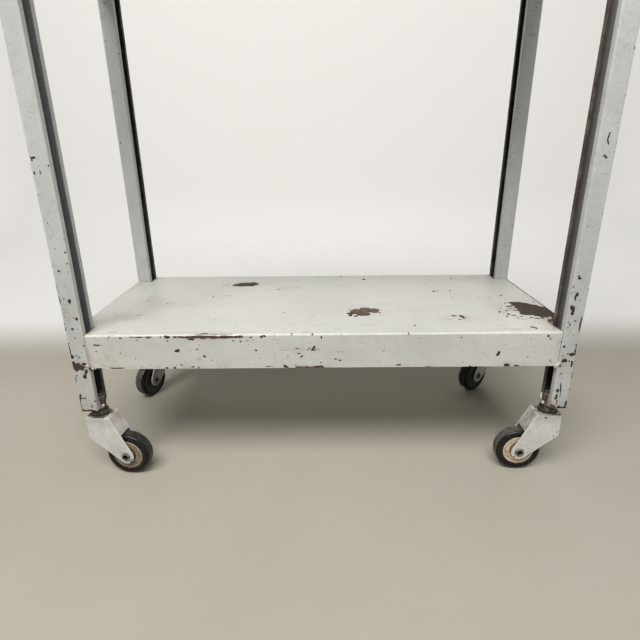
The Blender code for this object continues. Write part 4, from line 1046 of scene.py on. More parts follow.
# ------------------------------------------------------------ legs
def leg(where, number):
    """Lipped channel with fine faces, painted along its unrolled outer skin."""
    sx, sy = SIDE[where]
    lo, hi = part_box("leg_" + where)
    x0 = lo.x if sx < 0 else hi.x
    y0 = lo.y if sy < 0 else hi.y
    w, d = (hi.x - lo.x) / MM, (hi.y - lo.y) / MM
    lip, t, r = 9.5, 2.0, 2.5
    ri = r - t
    outer, unrolled = [], []

    def put(u, v, s):
        outer.append((u, v))
        unrolled.append(s)

    # unrolled length: on the near flange it equals the distance from the outer face
    quarter = r * pi / 2
    for v in spread(lip, r, 2.4):
        put(w, v, (w - r) + quarter + (v - r))
    for k in range(1, 6):
        a = radians(90 * k / 6)
        put(w - r + r * cos(a), r - r * sin(a), (w - r) + quarter - r * a)
    for u in [w - r - (w - 2 * r) * k / 19 for k in range(20)]:
        put(u, 0.0, u)
    for k in range(1, 6):
        a = radians(90 * k / 6)
        put(r - r * sin(a), r - r * cos(a), r - r * a)
    for k in range(24):
        v = r + (d - 2 * r) * k / 23
        put(0.0, v, r - quarter - (v - r))
    for k in range(1, 6):
        a = radians(90 * k / 6)
        put(r - r * cos(a), d - r + r * sin(a), r - quarter - (d - 2 * r) - r * a)
    for k in range(11):
        u = r + (w - 2 * r) * k / 10
        put(u, d, r - 2 * quarter - (d - 2 * r) - (u - r))
    for k in range(1, 6):
        a = radians(90 * k / 6)
        put(w - r + r * sin(a), d - r + r * cos(a), r - 2 * quarter - (d - 2 * r) - (w - 2 * r) - r * a)
    for v in (d - r, d - 6.0, d - lip):
        put(w, v, -130.0 + v - d)
    inner = [(w - t, d - lip)]
    inner += [(w - r + ri * cos(a), d - r + ri * sin(a)) for a in (0, pi / 4, pi / 2)]
    inner += [(w / 2, d - t)]
    inner += [(r + ri * cos(a), d - r + ri * sin(a)) for a in (pi / 2, 3 * pi / 4, pi)]
    inner += [(t, d - r - (d - 2 * r) * k / 6) for k in range(1, 6)]
    inner += [(r + ri * cos(a), r + ri * sin(a)) for a in (pi, 5 * pi / 4, 3 * pi / 2)]
    inner += [(w / 2, t)]
    inner += [(w - r + ri * cos(a), r + ri * sin(a)) for a in (3 * pi / 2, 7 * pi / 4, 2 * pi)]
    inner += [(w - t, lip)]
    section = outer + inner
    n_out, n = len(outer), len(section)
    z0, z1 = lo.z / MM, hi.z / MM
    fine = 1.25 if sy < 0 else 2.2
    zs = joined(spread(z0, 430, fine), spread(430, 700, fine * 1.5), spread(700, z1, 5.0))
    sec = np.array(section)
    un = np.array(unrolled + [600.0] * len(inner))
    m = len(zs)
    u = np.tile(sec[:, 0], m)
    v = np.tile(sec[:, 1], m)
    z = np.repeat(np.array(zs), n)
    s = np.tile(un, m)
    # shallow dents: both skins bow together
    place = np.column_stack([u * 0.4 + number * 50, v * 0.4, z])
    bow = 0.22 * fbm(place, 90.0, 100 + number, 2)
    x = x0 / MM - sx * (u + 0.8 * bow * (0.5 - u / w))
    y = y0 / MM - sy * (v + np.abs(bow) * 0.7)
    verts = np.column_stack([x, y, z]) * MM
    faces = []
    for k in range(m - 1):
        a, b = k * n, (k + 1) * n
        faces += [(a + i, a + (i + 1) % n, b + (i + 1) % n, b + i) for i in range(n)]
    faces.append(list(range(n - 1, -1, -1)))
    faces.append([(m - 1) * n + i for i in range(n)])
    obj = make("leg_" + where + "_channel", verts, faces, LEG_PAINT, 40)
    is_outer = s < 500
    chips = [(max(1.2, 400 - abs(c[0])), c[1], max(2.0, c[2] * 1.28), max(2.0, c[3] * 1.24), *c[4:]) for c in LEG_CHIPS[where]]
    chips += scatter(200 + number, 26, -0.5, 26, z0, 700, 0.7, 2.0)
    chips += scatter(210 + number, 22, 0, 26, z0, 330, 0.7, 2.2)
    chips += scatter(220 + number, 46, -2.5, 2.0, z0, 800, 0.9, 3.6)
    chips += scatter(240 + number, 56, -38, -2, z0, 800, 0.9, 3.4)
    chips += scatter(260 + number, 12, -36, -4, z0, 500, 2.5, 8.0, (0.3, 0.9))
    chips += scatter(280 + number, 30, -70, -40, z0, 800, 0.9, 3.4)
    chips += scatter(300 + number, 20, 24, 34, z0, 700, 0.9, 2.6)
    chips += scatter(320 + number, 18, -44, 30, z0, z0 + 4, 1.5, 5.0, (0.2, 0.8))
    coords = np.column_stack([s, z])
    depth, brown = np.full(len(s), -8.0), np.zeros(len(s))
    d1, b1 = chip_field(coords[is_outer], chips, 340 + number)
    depth[is_outer], brown[is_outer] = d1, b1
    stain = np.zeros(len(s))
    marks = [(400 - abs(a), b, c, e, f) for a, b, c, e, f in LEG_STAINS[where]]
    marks += [(-20, 230, 46, 60, 0.3), (-20, 150, 46, 50, 0.25), (10, z0 + 4, 60, 14, 0.5)]
    marks += {"rear_right": [(14, 580, 90, 560, 0.62), (14, 300, 90, 200, 0.2)], "rear_left": [(14, 420, 90, 600, 0.15)]}.get(where, [])
    stain[is_outer] = soft_field(coords[is_outer], marks, 360 + number)
    # lighter along the channel's folds and the lip's edge: worn paint and a painted highlight
    edge = np.zeros(len(s))
    quarter_mid = r - quarter / 2
    edge[is_outer] = 0.42 * np.exp(-((s[is_outer] - quarter_mid) / 1.6) ** 2)
    edge[is_outer] += 0.30 * np.exp(-((s[is_outer] - (w - r + quarter / 2)) / 1.5) ** 2)
    edge[is_outer] += 0.35 * np.exp(-((s[is_outer] - (w - r + quarter + lip - r)) / 0.9) ** 2)
    # painted shade: the channel's inside darkened, deepest below the shelf; the far lip painted near black below the
    # shelf; on the rear legs the near lip and the inside painted near black
    below_shelf = np.clip((SHELF_TOP / MM - 8 - z) / 5.0, 0, 1)
    inside = np.where(is_outer, 0.0, 0.80 + 0.20 * below_shelf)
    far_lip = is_outer & (s < -95)
    inside[far_lip] = 0.95 * below_shelf[far_lip]
    near_lip = is_outer & (s > w - r + quarter - 0.6)
    # the front-right leg keeps little of the painted fold highlight beside its lip
    if where == "front_right":
        edge[s > w - r] *= 0.2
    if sy > 0:
        inside[near_lip] = 0.97
        inside[~is_outer] = 1.0
        edge[near_lip] = 0.0
    # rust-brown with painted shade on the far lip and far flange above the shelf, strong on the front-right leg
    rust_and_shade = np.where(far_lip | (~is_outer & (v > d - lip - 1.0) & (u > w / 2)), 1.0 if where == "front_right" else 0.12, 0.0) * (1 - below_shelf)
    for name, values in (("chip", depth), ("brown", brown), ("stain", stain), ("edge", edge), ("inside", inside), ("rust_and_shade", rust_and_shade)):
        attribute(obj.data, name, values)
    adopt(obj, "root", "leg_enamel", "leg_" + where)


lower_shelf()
upper_shelf()
for number, where in enumerate(PLACES):
    leg(where, number)


# ------------------------------------------------------------ casters
def swivel_frame(where):
    """Local frame of a caster: origin on top of the crown, X the way it trails."""
    return Matrix.Translation(SWIVEL[where]) @ Matrix.Rotation(TRAIL[where][0], 4, "Z")


def axle_frame(where):
    """Origin in the middle of the wheel, local Z along the axle."""
    return Matrix.Translation(TRAIL[where][1]) @ Matrix.Rotation(TRAIL[where][0], 4, "Z") @ Matrix.Rotation(-pi / 2, 4, "X")


FORK_CHIPS = {
    # along the fork, depth below the crown, side of the fork, radius (mm)
    "front_left": [(50.5, -84.0, -1, 2.6), (52.5, -79.0, -1, 1.8), (30.0, -66.0, -1, 1.0), (6.0, -30.0, -1, 0.9), (-14.0, -6.0, -1, 1.6)],
    "front_right": [(8.0, -6.0, 1, 1.9), (14.0, -8.0, 1, 1.2), (-15.0, -33.0, 1, 1.5), (-10.0, -41.0, 1, 1.5), (32.0, -60.0, 1, 1.2), (51.0, -83.0, 1, 1.8)],
    "rear_left": [(48.0, -80.0, 1, 1.8), (10.0, -22.0, 1, 1.4)],
    "rear_right": [(49.0, -82.0, -1, 1.8), (4.0, -26.0, -1, 1.4)],
}


# how dark each fork's web face is: grime with painted shade, darkest on the rear casters under the cart
WEB_DIRT_AND_SHADE = {"front_left": 0.06, "front_right": 0.70, "rear_left": 0.9, "rear_right": 0.9}


def fork(where, number):
    bm = node_shape("fork_" + where)
    local = swivel_frame(where).inverted()
    half = max(abs((local @ v.co).y) for v in bm.verts)
    axle = local @ TRAIL[where][1]

    def at(v):
        return local @ v.co

    folds = []
    for e in bm.edges:
        a, b = at(e.verts[0]), at(e.verts[1])
        if len(e.link_faces) != 2 or e.calc_face_angle(0) < radians(20):
            continue
        side = abs(abs(a.y) - half) < 1e-4 and abs(abs(b.y) - half) < 1e-4 and a.y * b.y > 0
        on_crown = abs(a.z) < 1e-4 and abs(b.z) < 1e-4
        rising = {round(p.z / MM, 0) for p in (a, b)}
        on_web = min(a.z, b.z) < -0.004 and max(a.z, b.z) > -1e-4 and min(a.x, b.x) > 0.015
        if side and (on_crown or on_web):
            folds.append(e)
        elif abs(a.x - b.x) < 1e-4 and on_crown and a.x > 0.015 and abs(a.y - b.y) > 0.01:
            folds.append(e)
    if folds:
        bmesh.ops.bevel(bm, geom=folds, offset=0.0017, offset_type="OFFSET", segments=6, profile=0.5, affect="EDGES", clamp_overlap=True)
    rough_edges = [e for e in bm.edges if len(e.link_faces) == 2 and e.calc_face_angle(0) > radians(38)]
    segments = [(e.verts[0].co.copy(), e.verts[1].co.copy()) for e in rough_edges]
    bmesh.ops.bevel(bm, geom=rough_edges, offset=0.00042, offset_type="OFFSET", segments=2, profile=0.5, affect="EDGES", clamp_overlap=True)
    bmesh.ops.remove_doubles(bm, verts=bm.verts, dist=1.5e-5)
    refine(bm, 0.0034)
    close_up(bm)
    obj = from_bmesh("fork_" + where + "_pressed", bm, FORK_PAINT, 32)
    pos = points(obj.data)
    loc = np.array([tuple(local @ Vector(p)) for p in pos]) / MM
    edge = 0.9 * edge_wear(pos, segments, 0.0011)
    # rubbed along the folds of the crown and the web
    slope_a, slope_b = np.array([22.4, 0.0]), np.array([38.3, -33.0])
    rim = np.abs(loc[:, 1]) > half / MM - 2.0
    lean = (slope_b - slope_a) / np.hypot(*(slope_b - slope_a))
    off = np.abs((loc[:, 0] - slope_a[0]) * lean[1] - (loc[:, 2] - slope_a[1]) * lean[0])
    edge = np.maximum(edge, 0.95 * np.exp(-(off / 1.5) ** 2) * rim * (loc[:, 2] < -1))
    edge = np.maximum(edge, 0.5 * np.exp(-((loc[:, 2] + 0.4) / 1.0) ** 2) * (np.abs(loc[:, 1]) > half / MM - 2.2))
    # grime and painted shade on the crown round the race, including the shadow of the leg's foot; round the axle and on
    # the inner faces
    r_crown = np.hypot(loc[:, 0], loc[:, 1])
    blotch = 1 + 0.32 * fbm(loc, 9.0, 540 + number, 3)
    dirt = np.clip(np.where(r_crown < 18, 1.0, np.exp(-((r_crown - 18) / (4.6 if SIDE[where][0] < 0 else 7.0)) ** 2)) * blotch, 0, 1) * (loc[:, 2] > -0.8)
    inner_side = (np.abs(loc[:, 1]) < half / MM - 1.6) & (loc[:, 2] < -2.0)
    web_face = inner_side & (off < 0.9)
    dirt = np.maximum(dirt, 0.9 * (inner_side & ~web_face))
    dirt = np.maximum(dirt, WEB_DIRT_AND_SHADE[where] * np.clip(0.88 + 0.22 * fbm(loc, 7.0, 560 + number, 3), 0, 1.1) * web_face)
    # a band of grime and painted shade across the front-right web; the rear forks darkened all over with grime and
    # painted shade
    if where == "front_right":
        dirt = np.maximum(dirt, 0.92 * np.exp(-((loc[:, 2] + 36.0) / 6.0) ** 2) * web_face)
    if where == "rear_left":
        dirt = np.maximum(dirt, 0.66 * np.clip(1 + 0.5 * fbm(loc, 12.0, 580, 3), 0, 1.5) * (edge < 0.4))
    if where == "rear_right":
        dirt = np.maximum(dirt, 0.22 * np.clip(1 + 0.6 * fbm(loc, 12.0, 581, 3), 0, 1.6) * (edge < 0.4))
    r_axle = np.hypot(loc[:, 0] - axle.x / MM, loc[:, 2] - axle.z / MM)
    dirt = np.maximum(dirt, 0.9 * np.exp(-((r_axle - 6.9) / 1.5) ** 2))
    dirt = np.maximum(dirt, 0.30 * np.exp(-((loc[:, 2] + 6) / 9.0) ** 2))
    depth = np.full(len(pos), -8.0)
    wob = 0.5 * fbm(loc, 2.4, 500 + number, 2)
    for x, z, side, r in FORK_CHIPS[where]:
        on_side = loc[:, 1] * side > 6
        dist = np.hypot(loc[:, 0] - x, loc[:, 2] - z)
        depth = np.maximum(depth, np.where(on_side, r - dist + wob, -8.0))
    for name, values in (("chip", depth), ("edge", edge), ("dirt", dirt)):
        attribute(obj.data, name, values)
    adopt(obj, "swivel_" + where, "fork_enamel", "fork_" + where)


def paint_round(obj, matrix, **fields):
    """Attributes from the radius and height of each point, both in mm."""
    back = matrix.inverted()
    loc = np.array([tuple(back @ v.co) for v in obj.data.vertices]) / MM
    r, z = np.hypot(loc[:, 0], loc[:, 1]), loc[:, 2]
    for name, rule in fields.items():
        attribute(obj.data, name, np.clip(rule(r, z), -8, 8) * np.ones(len(r)))


def bell(value, centre, width):
    return np.exp(-((value - centre) / width) ** 2)


TYRE_HALF = [
    (26.05, 0.0), (26.05, 9.9), (26.6, 10.5), (27.6, 10.75), (28.3, 10.5), (28.8, 10.15), (29.4, 10.25), (30.2, 10.85), (31.6, 11.15),
    (33.2, 11.1), (33.7, 10.85), (34.1, 10.95), (34.6, 10.8), (35.6, 10.35), (36.5, 9.6), (37.2, 8.6), (37.6, 7.4), (37.85, 6.2), (38.0, 4.6), (38.08, 2.4), (38.1, 0.0),
]
HUB_HALF = [
    (7.35, 0.0), (7.35, 13.2), (9.8, 13.2), (10.4, 7.6), (14.2, 7.6), (15.2, 10.0), (17.2, 10.25), (20.6, 10.35), (21.0, 10.0), (21.6, 10.0),
    (22.0, 10.45), (24.6, 10.8), (25.7, 10.3), (25.7, 0.0),
]


# how grey each tread is: scuffing and dust, raised on some wheels as a painted reflection of the floor
TREAD_DUST_AND_REFLECTION = {"front_left": 0.35, "front_right": 0.95, "rear_left": 1.0, "rear_right": 0.2}


def both_halves(half):
    return half[1:-1] + [half[-1]] + [(r, -z) for r, z in reversed(half[1:-1])] + [(half[0][0], 0.0)]


def wheel(where):
    m = axle_frame(where)
    body = "wheel_" + where
    tyre = lathe("tyre_" + where + "_moulded", both_halves(TYRE_HALF), 112, m, RUBBER, smooth=50)
    # the tread is worn very slightly out of round
    back = m.inverted()
    pos = points(tyre.data)
    loc = np.array([tuple(back @ Vector(p)) for p in pos])
    r = np.hypot(loc[:, 0], loc[:, 1])
    wob = fbm(loc / MM, 16.0, 640 + PLACES.index(where), 2)
    shrink = 1 - np.where(r > 0.0355, 0.10 * MM * np.abs(wob), 0) / r
    loc[:, 0] *= shrink
    loc[:, 1] *= shrink
    for v, p in zip(tyre.data.vertices, loc):
        v.co = m @ Vector(p)
    # the sidewall rings are dust with painted highlights; the outer ring on the front tyres is a painted highlight on
    # the shoulder
    paint_round(tyre, m,
                tread=lambda r, z: TREAD_DUST_AND_REFLECTION[where] * np.clip((r - 37.3) / 0.35, 0, 1),
                ring=lambda r, z: 1.0 * bell(r, 26.6, 0.6) + 0.5 * bell(r, 28.9, 0.5) + 0.35 * bell(r, 33.6, 0.5) + (0.30 * bell(r, 36.4, 0.45) if "front" in where else 0.0))
    adopt(tyre, body, "tyre_rubber", "tyre_" + where)
    hub = lathe("wheel_hub_" + where + "_moulded", rounded(both_halves(HUB_HALF), 0.45, True, 2), 88, m, HUB, smooth=45)
    paint_round(hub, m,
                recess=lambda r, z: np.clip(bell(r, 12.2, 2.0) * 1.2, 0, 1) * 0.95 + 0.45 * bell(r, 21.3, 0.5) * (np.abs(z) > 8),
                edge=lambda r, z: 0.8 * bell(r, 25.2, 0.7) * (np.abs(z) > 9) + 0.4 * bell(r, 15.6, 0.5) * (np.abs(z) > 9) + 0.3 * bell(r, 9.6, 0.4))
    adopt(hub, body, "hub_plastic", "wheel_hub_" + where)


RIVET = [
    (3.6, 0.0), (3.6, 15.8), (3.9, 17.2), (4.5, 18.3), (5.3, 18.9), (5.9, 19.0), (6.5, 18.7), (6.9, 18.0), (7.0, 17.1), (6.85, 16.85), (4.8, 16.82), (4.8, 0.0),
]
BUSH = [(5.1, 0.0), (5.1, 13.2), (5.5, 13.7), (6.6, 13.7), (7.0, 13.2), (7.0, 0.0)]


def axle_pieces(where):
    m = axle_frame(where)
    body = "swivel_" + where
    rivet = lathe("axle_rivet_" + where + "_rolled", both_halves(RIVET), 56, m, STEEL, smooth=50)
    # dark inside the bore and round the head where it meets the fork: painted shade with grime
    paint_round(rivet, m,
                dirt=lambda r, z: np.clip((5.3 - r) / 0.9, 0, 1) + 0.9 * bell(r, 7.1, 0.6),
                edge=lambda r, z: 0.7 * bell(r, 6.0, 0.45) * (np.abs(z) > 18.5))
    adopt(rivet, body, "worn_steel", "axle_rivet_" + where)
    bush = lathe("axle_bush_" + where + "_turned", both_halves(BUSH), 48, m, STEEL, smooth=40)
    # dark at the bush's ends between the fork and the hub: painted shade with grime
    paint_round(bush, m, dirt=lambda r, z: 0.7 * bell(np.abs(z), 13.4, 0.8), edge=lambda r, z: 0.4 * bell(r, 7.0, 0.2) * (np.abs(z) > 13))
    adopt(bush, body, "worn_steel", "axle_bush_" + where)


STEM = [
    (0.0, -7.4), (3.0, -7.35), (5.2, -7.2), (7.0, -6.9), (8.2, -6.3), (8.75, -5.5), (8.7, -4.9), (5.5, -4.9), (5.5, 6.0), (5.5, 10.8), (8.6, 10.8), (9.0, 11.2),
    (9.0, 13.5), (8.6, 13.9), (5.5, 13.9), (5.5, 22.0), (5.5, 31.2), (5.2, 32.2), (4.4, 33.0), (0.0, 33.0),
]
TOP_RACE = [
    (5.8, 6.4), (10.6, 6.4), (12.0, 6.2), (12.55, 5.2), (12.9, 3.2), (14.2, 3.2), (14.15, 5.6), (14.0, 7.2), (13.2, 8.6), (12.0, 9.8), (11.0, 10.4), (5.8, 10.4),
]
CROWN_RACE = [
    (6.1, 0.3), (16.2, 0.3), (16.2, 1.3), (14.4, 1.75), (12.6, 2.3), (11.4, 2.45), (10.4, 2.6), (9.4, 3.1), (8.6, 3.7), (8.0, 3.9), (6.1, 3.9),
]
WASHER = [(6.1, -4.6), (10.6, -4.6), (10.6, -2.8), (6.1, -2.8)]


def bearing(where):
    m = swivel_frame(where)
    upright = Matrix.Translation(SWIVEL[where])
    number = PLACES.index(where)
    stem = lathe("caster_stem_" + where + "_turned", STEM, 48, upright, STEEL, closed=False, smooth=42)
    # dark on the stem inside the bearing and under its head: painted shade with grime
    paint_round(stem, upright, dirt=lambda r, z: 0.8 * bell(z, 8.5, 4.0) + 0.5 * (z < -4.9) * bell(r, 5.6, 0.6), edge=lambda r, z: 0.6 * bell(r, 8.9, 0.25))
    adopt(stem, "root", "worn_steel", "caster_stem_" + where)
    top = lathe("top_race_" + where + "_pressed", rounded(TOP_RACE, 0.35, True, 2), 60, upright, GREASE, smooth=45)
    paint_round(top, upright, edge=lambda r, z: 0.3 * bell(r, 14.1, 0.25) + 0.15 * bell(z, 10.2, 0.3))
    adopt(top, "root", "greasy_steel", "top_race_" + where)
    low = lathe("crown_race_" + where + "_pressed", rounded(CROWN_RACE, 0.3, True, 2), 60, m, GREASE, smooth=45)
    paint_round(low, m, edge=lambda r, z: 0.4 * bell(r, 16.1, 0.3))
    adopt(low, "swivel_" + where, "greasy_steel", "crown_race_" + where)
    washer = lathe("lower_washer_" + where + "_stamped", rounded(WASHER, 0.35, True, 2), 48, m, STEEL, smooth=45)
    # dark round the washer's bore, against the stem: painted shade with grime
    paint_round(washer, m, dirt=lambda r, z: 0.6 * bell(r, 6.6, 1.2), edge=lambda r, z: 0.5 * bell(r, 10.4, 0.3))
    adopt(washer, "swivel_" + where, "worn_steel", "lower_washer_" + where)
    bm = bmesh.new()
    for k in range(16):
        a = 2 * pi * (k + 0.25 * number) / 16
        spot = Matrix.Translation((10.6 * MM * cos(a), 10.6 * MM * sin(a), 4.62 * MM))
        bmesh.ops.create_icosphere(bm, subdivisions=2, radius=1.62 * MM, matrix=m @ spot)
    balls = from_bmesh("ball_ring_" + where + "_balls", bm, GREASE, 60)
    attribute(balls.data, "edge", np.full(len(balls.data.vertices), 0.15))
    adopt(balls, "swivel_" + where, "greasy_steel", "ball_ring_" + where)


def socket(where):
    bm = node_shape("stem_socket_" + where)
    edges = sharp_edges(bm, 28)
    segments = [(e.verts[0].co.copy(), e.verts[1].co.copy()) for e in edges]
    bmesh.ops.bevel(bm, geom=edges, offset=0.00045, offset_type="OFFSET", segments=2, profile=0.5, affect="EDGES", clamp_overlap=True)
    bmesh.ops.remove_doubles(bm, verts=bm.verts, dist=1.5e-5)
    refine(bm, 0.0030)
    close_up(bm)
    obj = from_bmesh("stem_socket_" + where + "_block", bm, SOCKET, 35)
    pos = points(obj.data)
    low, high = pos[:, 2].min(), pos[:, 2].max()
    # the nose of the block is a rough forging: dents sink it towards the stem
    away = pos[:, :2] - np.array([SWIVEL[where].x, SWIVEL[where].y])
    reach = np.hypot(away[:, 0], away[:, 1])
    side = -SIDE[where][0] * away[:, 0]
    nose = np.clip((side - 0.0062) / 0.003, 0, 1) * (reach > 0.0075)
    dent = nose * 0.0010 * np.clip(0.35 + 0.9 * fbm(pos / MM, 6.0, 660 + PLACES.index(where), 3), 0, 1.2)
    pos[:, :2] -= away / np.maximum(reach, 1e-5)[:, None] * dent[:, None]
    obj.data.vertices.foreach_set("co", pos.ravel())
    obj.data.update()
    attribute(obj.data, "edge", 0.6 * edge_wear(pos, segments, 0.0009))
    # darker towards the top of the block, inside the leg channel: painted shade with grime
    attribute(obj.data, "dirt", np.clip((pos[:, 2] - high + 0.004) / 0.003, 0, 1) * 0.9)
    adopt(obj, "root", "socket_steel", "stem_socket_" + where)


def bead(name, path, radius, seed, body="root", bare=0.0):
    """A lumpy bead of weld laid along a few points, closed at both ends."""
    pts = [Vector(p) for p in path]
    lengths = [0.0]
    for a, b in zip(pts, pts[1:]):
        lengths.append(lengths[-1] + (b - a).length)
    rows, around = 34, 20
    verts, faces = [], []

    def along(t):
        want = t * lengths[-1]
        for k in range(len(pts) - 1):
            if want <= lengths[k + 1] or k == len(pts) - 2:
                span = lengths[k + 1] - lengths[k]
                return pts[k].lerp(pts[k + 1], min(1.0, (want - lengths[k]) / span)), (pts[k + 1] - pts[k]).normalized()

    rings = []
    for i in range(rows + 1):
        t = i / rows
        c, way = along(min(max(t, 0.0), 1.0))
        side = way.cross(Vector((0.3, 1.0, 0.2))).normalized()
        up = side.cross(way).normalized()
        swell = max(0.0, 1 - (2 * t - 1) ** 6) ** 0.5
        ripple = 1 + 0.13 * abs(sin(t * pi * lengths[-1] / (radius * 1.5)))
        if i in (0, rows):
            rings.append([len(verts)])
            verts.append(c)
            continue
        ring = []
        for k in range(around):
            a = 2 * pi * k / around
            ring.append(len(verts))
            verts.append(c + (side * cos(a) + up * sin(a)) * radius * swell * ripple)
        rings.append(ring)
    for a, b in zip(rings, rings[1:]):
        for k in range(around):
            n = (k + 1) % around
            if len(a) == 1:
                faces.append((a[0], b[k], b[n]))
            elif len(b) == 1:
                faces.append((a[k], a[n], b[0]))
            else:
                faces.append((a[k], a[n], b[n], b[k]))
    p = np.array([tuple(v) for v in verts]) / MM
    lump = fbm(p, 3.6, seed, 3)
    centre = np.array([tuple(along(0.5)[0])]) / MM
    away = p - centre
    away /= np.maximum(np.linalg.norm(away, axis=1), 1e-6)[:, None]
    p = p + away * (0.34 * radius / MM * lump)[:, None]
    obj = make(name, p * MM, faces, WELD_PAINT, 60)
    depth = 1.1 * fbm(p, 3.2, seed + 3, 3) - 0.25 + bare
    attribute(obj.data, "chip", depth)
    attribute(obj.data, "brown", np.clip(0.6 + fbm(p, 5.0, seed + 4, 2), 0, 1))
    attribute(obj.data, "stain", np.clip(0.5 + 0.6 * fbm(p, 6.0, seed + 5, 2), 0, 1))
    attribute(obj.data, "edge", np.clip(0.4 * lump, 0, 1))
    adopt(obj, body, "leg_enamel")


def welds():
    """Beads where the lower shelf is joined to the legs."""
    for number, where in enumerate(PLACES):
        sx, sy = SIDE[where]
        lo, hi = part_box("leg_" + where)
        inner = hi.x if sx < 0 else lo.x            # lip side of the leg
        face = lo.y if sy < 0 else hi.y
        back = hi.y if sy < 0 else lo.y
        bottom = LOW.z
        out = -sx                                   # towards the middle of the cart
        # front: a lump under the apron's corner, run up the seam beside the leg
        bead("weld_apron_" + where, [(inner - out * 0.0034, face - sy * 0.0006, bottom + 0.0060), (inner - out * 0.0002, face - sy * 0.0006, bottom + 0.0030),
                                    (inner + out * 0.0022, face - sy * 0.0022, bottom - 0.0016), (inner + out * 0.0016, face - sy * 0.0034, bottom - 0.0060)], 0.0030 if where == "front_right" else 0.0024, 700 + number, bare=-0.3 if where == "front_right" else 0.0)
        bead("weld_seam_" + where, [(inner + out * 0.0009, face - sy * 0.0018, bottom + 0.0140), (inner + out * 0.0008, face - sy * 0.0016, bottom + 0.0075),
                                   (inner + out * 0.0008, face - sy * 0.0018, bottom + 0.0030)], 0.0010, 740 + number)
        # foot of the channel: weld and old paint on the nose of the socket
        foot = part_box("stem_socket_" + where)[0].z
        runs = {"front_right": ([(24, 0.0034), (16, 0.0090), (28, 0.0160)], [(-30, 0.0024), (-8, 0.0030)]),
                "front_left": ([(4, 0.0030), (24, 0.0058), (42, 0.0105)], [(-46, 0.0028), (-24, 0.0036)])}
        for k, run in enumerate(runs.get(where, ([(-40, 0.0024), (-4, 0.0036), (34, 0.0090)],))):
            path = [(SWIVEL[where].x - sx * 0.0119 * cos(radians(a)), SWIVEL[where].y + sy * -0.0119 * sin(radians(a)), foot + up) for a, up in run]
            bead("weld_socket_%s_%d" % (where, k), path, 0.0023 if k else 0.0021, 760 + number + 9 * k, bare=-0.55)
        # side: between the leg's web and the side apron, near the lower edge
        outer_x = lo.x if sx < 0 else hi.x
        bead("weld_side_" + where, [(outer_x - sx * 0.0010, back + sy * 0.0012, bottom + 0.016), (outer_x - sx * 0.0007, back - sy * 0.0004, bottom + 0.010),
                                   (outer_x - sx * 0.0010, back - sy * 0.0008, bottom + 0.003)], 0.0014, 720 + number)


for number, where in enumerate(PLACES):
    fork(where, number)
    wheel(where)
    axle_pieces(where)
    bearing(where)
    socket(where)
welds()


# ------------------------------------------------------------ floor and backdrop
def backdrop():
    """Pale floor that sweeps up into a pale wall."""
    line = [(-9.0, 0.0), (-4.0, 0.0), (-1.2, 0.0), (0.6, 0.0), (1.75, 0.0)]
    line += [(1.75 + 0.28 * sin(radians(a)), 0.28 - 0.28 * cos(radians(a))) for a in range(10, 91, 10)]
    line += [(2.03, 1.2), (2.03, 3.4)]
    verts, faces = [], []
    for y, z in line:
        for x in (-12.0, -3.0, 0.0, 3.0, 12.0):
            verts.append((x, y, z - 0.00002))
    for i in range(len(line) - 1):
        for k in range(4):
            faces.append((i * 5 + k, i * 5 + k + 1, (i + 1) * 5 + k + 1, (i + 1) * 5 + k))
    mesh = bpy.data.meshes.new("backdrop")
    mesh.from_pydata(verts, [], faces)
    mesh.shade_smooth()
    s = Shader("pale_floor")
    tone = s.line(s.noise(1.6, 5, 0.6), 0.3, 0.7)
    fine = s.noise(90, 4, 0.65)
    sep = s.node("ShaderNodeSeparateXYZ")
    s._feed(sep.inputs[0], s.place)
    colour = s.mix(tone, (0.372, 0.350, 0.290), (0.412, 0.390, 0.330))
    colour = s.mix(s.line(fine, 0.35, 0.65, 0, 0.10), colour, (0.36, 0.34, 0.285))
    back = s.step(sep.outputs[1], 0.30, 0.66)
    colour = s.mix(back, colour, (0.60, 0.59, 0.57))
    reach = s.math("ADD", s.math("MULTIPLY", sep.outputs[0], sep.outputs[0]), s.math("MULTIPLY", sep.outputs[1], sep.outputs[1]))
    far = s.step(reach, 2.4, 12.0)
    colour = s.mix(far, colour, (0.60, 0.59, 0.57))
    s.bsdf.inputs["Emission Color"].default_value = (1.0, 0.985, 0.955, 1.0)
    s._feed(s.bsdf.inputs["Emission Strength"], s.math("MAXIMUM", s.math("MULTIPLY", back, 0.24), s.math("MULTIPLY", far, 0.50)))
    mesh.materials.append(s.finish(colour, 0.75, 0.0, s.bump(fine, 0.0002, 0.4), 0.25))
    obj = bpy.data.objects.new("backdrop", mesh)
    bpy.context.scene.collection.objects.link(obj)


backdrop()


def softbox(name, position, target, wide, high, watts, colour=(1, 1, 1), spread_deg=180):
    data = bpy.data.lights.new(name, "AREA")
    data.shape = "RECTANGLE"
    data.size, data.size_y = wide, high
    data.energy = watts
    data.color = colour
    data.spread = radians(spread_deg)
    lamp = bpy.data.objects.new(name, data)
    lamp.location = position
    lamp.rotation_euler = (Vector(target) - Vector(position)).to_track_quat("-Z", "Y").to_euler()
    bpy.context.scene.collection.objects.link(lamp)


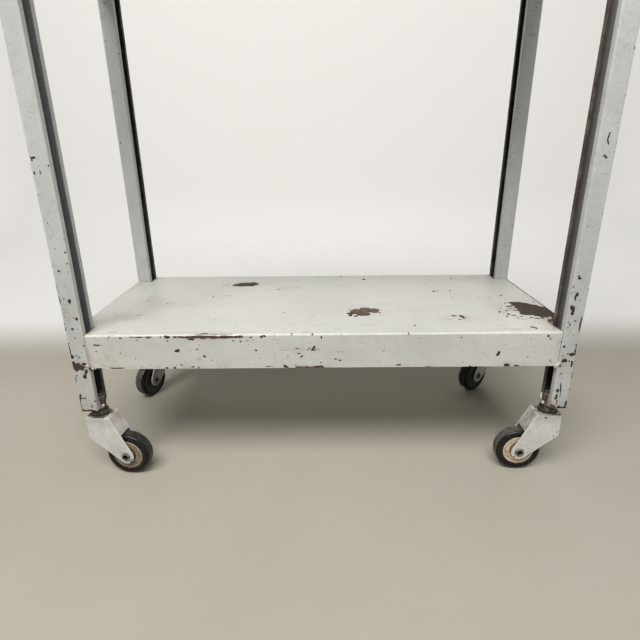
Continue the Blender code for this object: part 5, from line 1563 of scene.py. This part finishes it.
softbox("key", (-0.35, -1.55, 2.55), (0.0, 0.0, 0.25), 2.4, 1.2, 106, (1.0, 0.988, 0.962))
softbox("front_fill", (0.4, -2.9, 1.3), (0.0, 0.0, 0.35), 2.4, 1.4, 7, (0.96, 0.98, 1.0))
softbox("wall_light", (0.0, 1.15, 2.9), (0.0, 2.1, 0.7), 3.8, 0.5, 6, (1.0, 0.995, 0.985), 70)

world = bpy.data.worlds.new("studio")
world.use_nodes = True
background = next(n for n in world.node_tree.nodes if n.type == "BACKGROUND")
background.inputs["Color"].default_value = (0.97, 0.985, 1.0, 1.0)
background.inputs["Strength"].default_value = 0.10
# what the lens sees beyond the floor is a plain pale studio
pale = world.node_tree.nodes.new("ShaderNodeBackground")
pale.inputs["Color"].default_value = (0.74, 0.73, 0.70, 1.0)
seen = world.node_tree.nodes.new("ShaderNodeLightPath")
pick = world.node_tree.nodes.new("ShaderNodeMixShader")
surface = next(n for n in world.node_tree.nodes if n.type == "OUTPUT_WORLD")
world.node_tree.links.new(seen.outputs["Is Camera Ray"], pick.inputs[0])
world.node_tree.links.new(background.outputs[0], pick.inputs[1])
world.node_tree.links.new(pale.outputs[0], pick.inputs[2])
world.node_tree.links.new(pick.outputs[0], surface.inputs["Surface"])
bpy.context.scene.world = world
bpy.context.scene.view_settings.view_transform = "Standard"
bpy.context.scene.view_settings.look = "None"

# ------------------------------------------------------------ camera
PITCH, ROLL, YAW = radians(20.137), radians(0.624), radians(-0.467)
forward = Vector((sin(YAW) * cos(PITCH), cos(YAW) * cos(PITCH), -sin(PITCH)))
level = Vector((cos(YAW), -sin(YAW), 0.0))
below = forward.cross(level)
right = cos(ROLL) * level + sin(ROLL) * below
down = -sin(ROLL) * level + cos(ROLL) * below
camera_data = bpy.data.cameras.new("camera")
camera_data.sensor_width = 36.0
camera_data.sensor_fit = "HORIZONTAL"
camera_data.lens = 26.788
camera_data.clip_start = 0.02
camera = bpy.data.objects.new("camera", camera_data)
camera.matrix_world = Matrix((
    (right.x, -down.x, -forward.x, 0.0114),
    (right.y, -down.y, -forward.y, -0.8624),
    (right.z, -down.z, -forward.z, 0.5367),
    (0.0, 0.0, 0.0, 1.0),
))
bpy.context.scene.collection.objects.link(camera)
bpy.context.scene.camera = camera
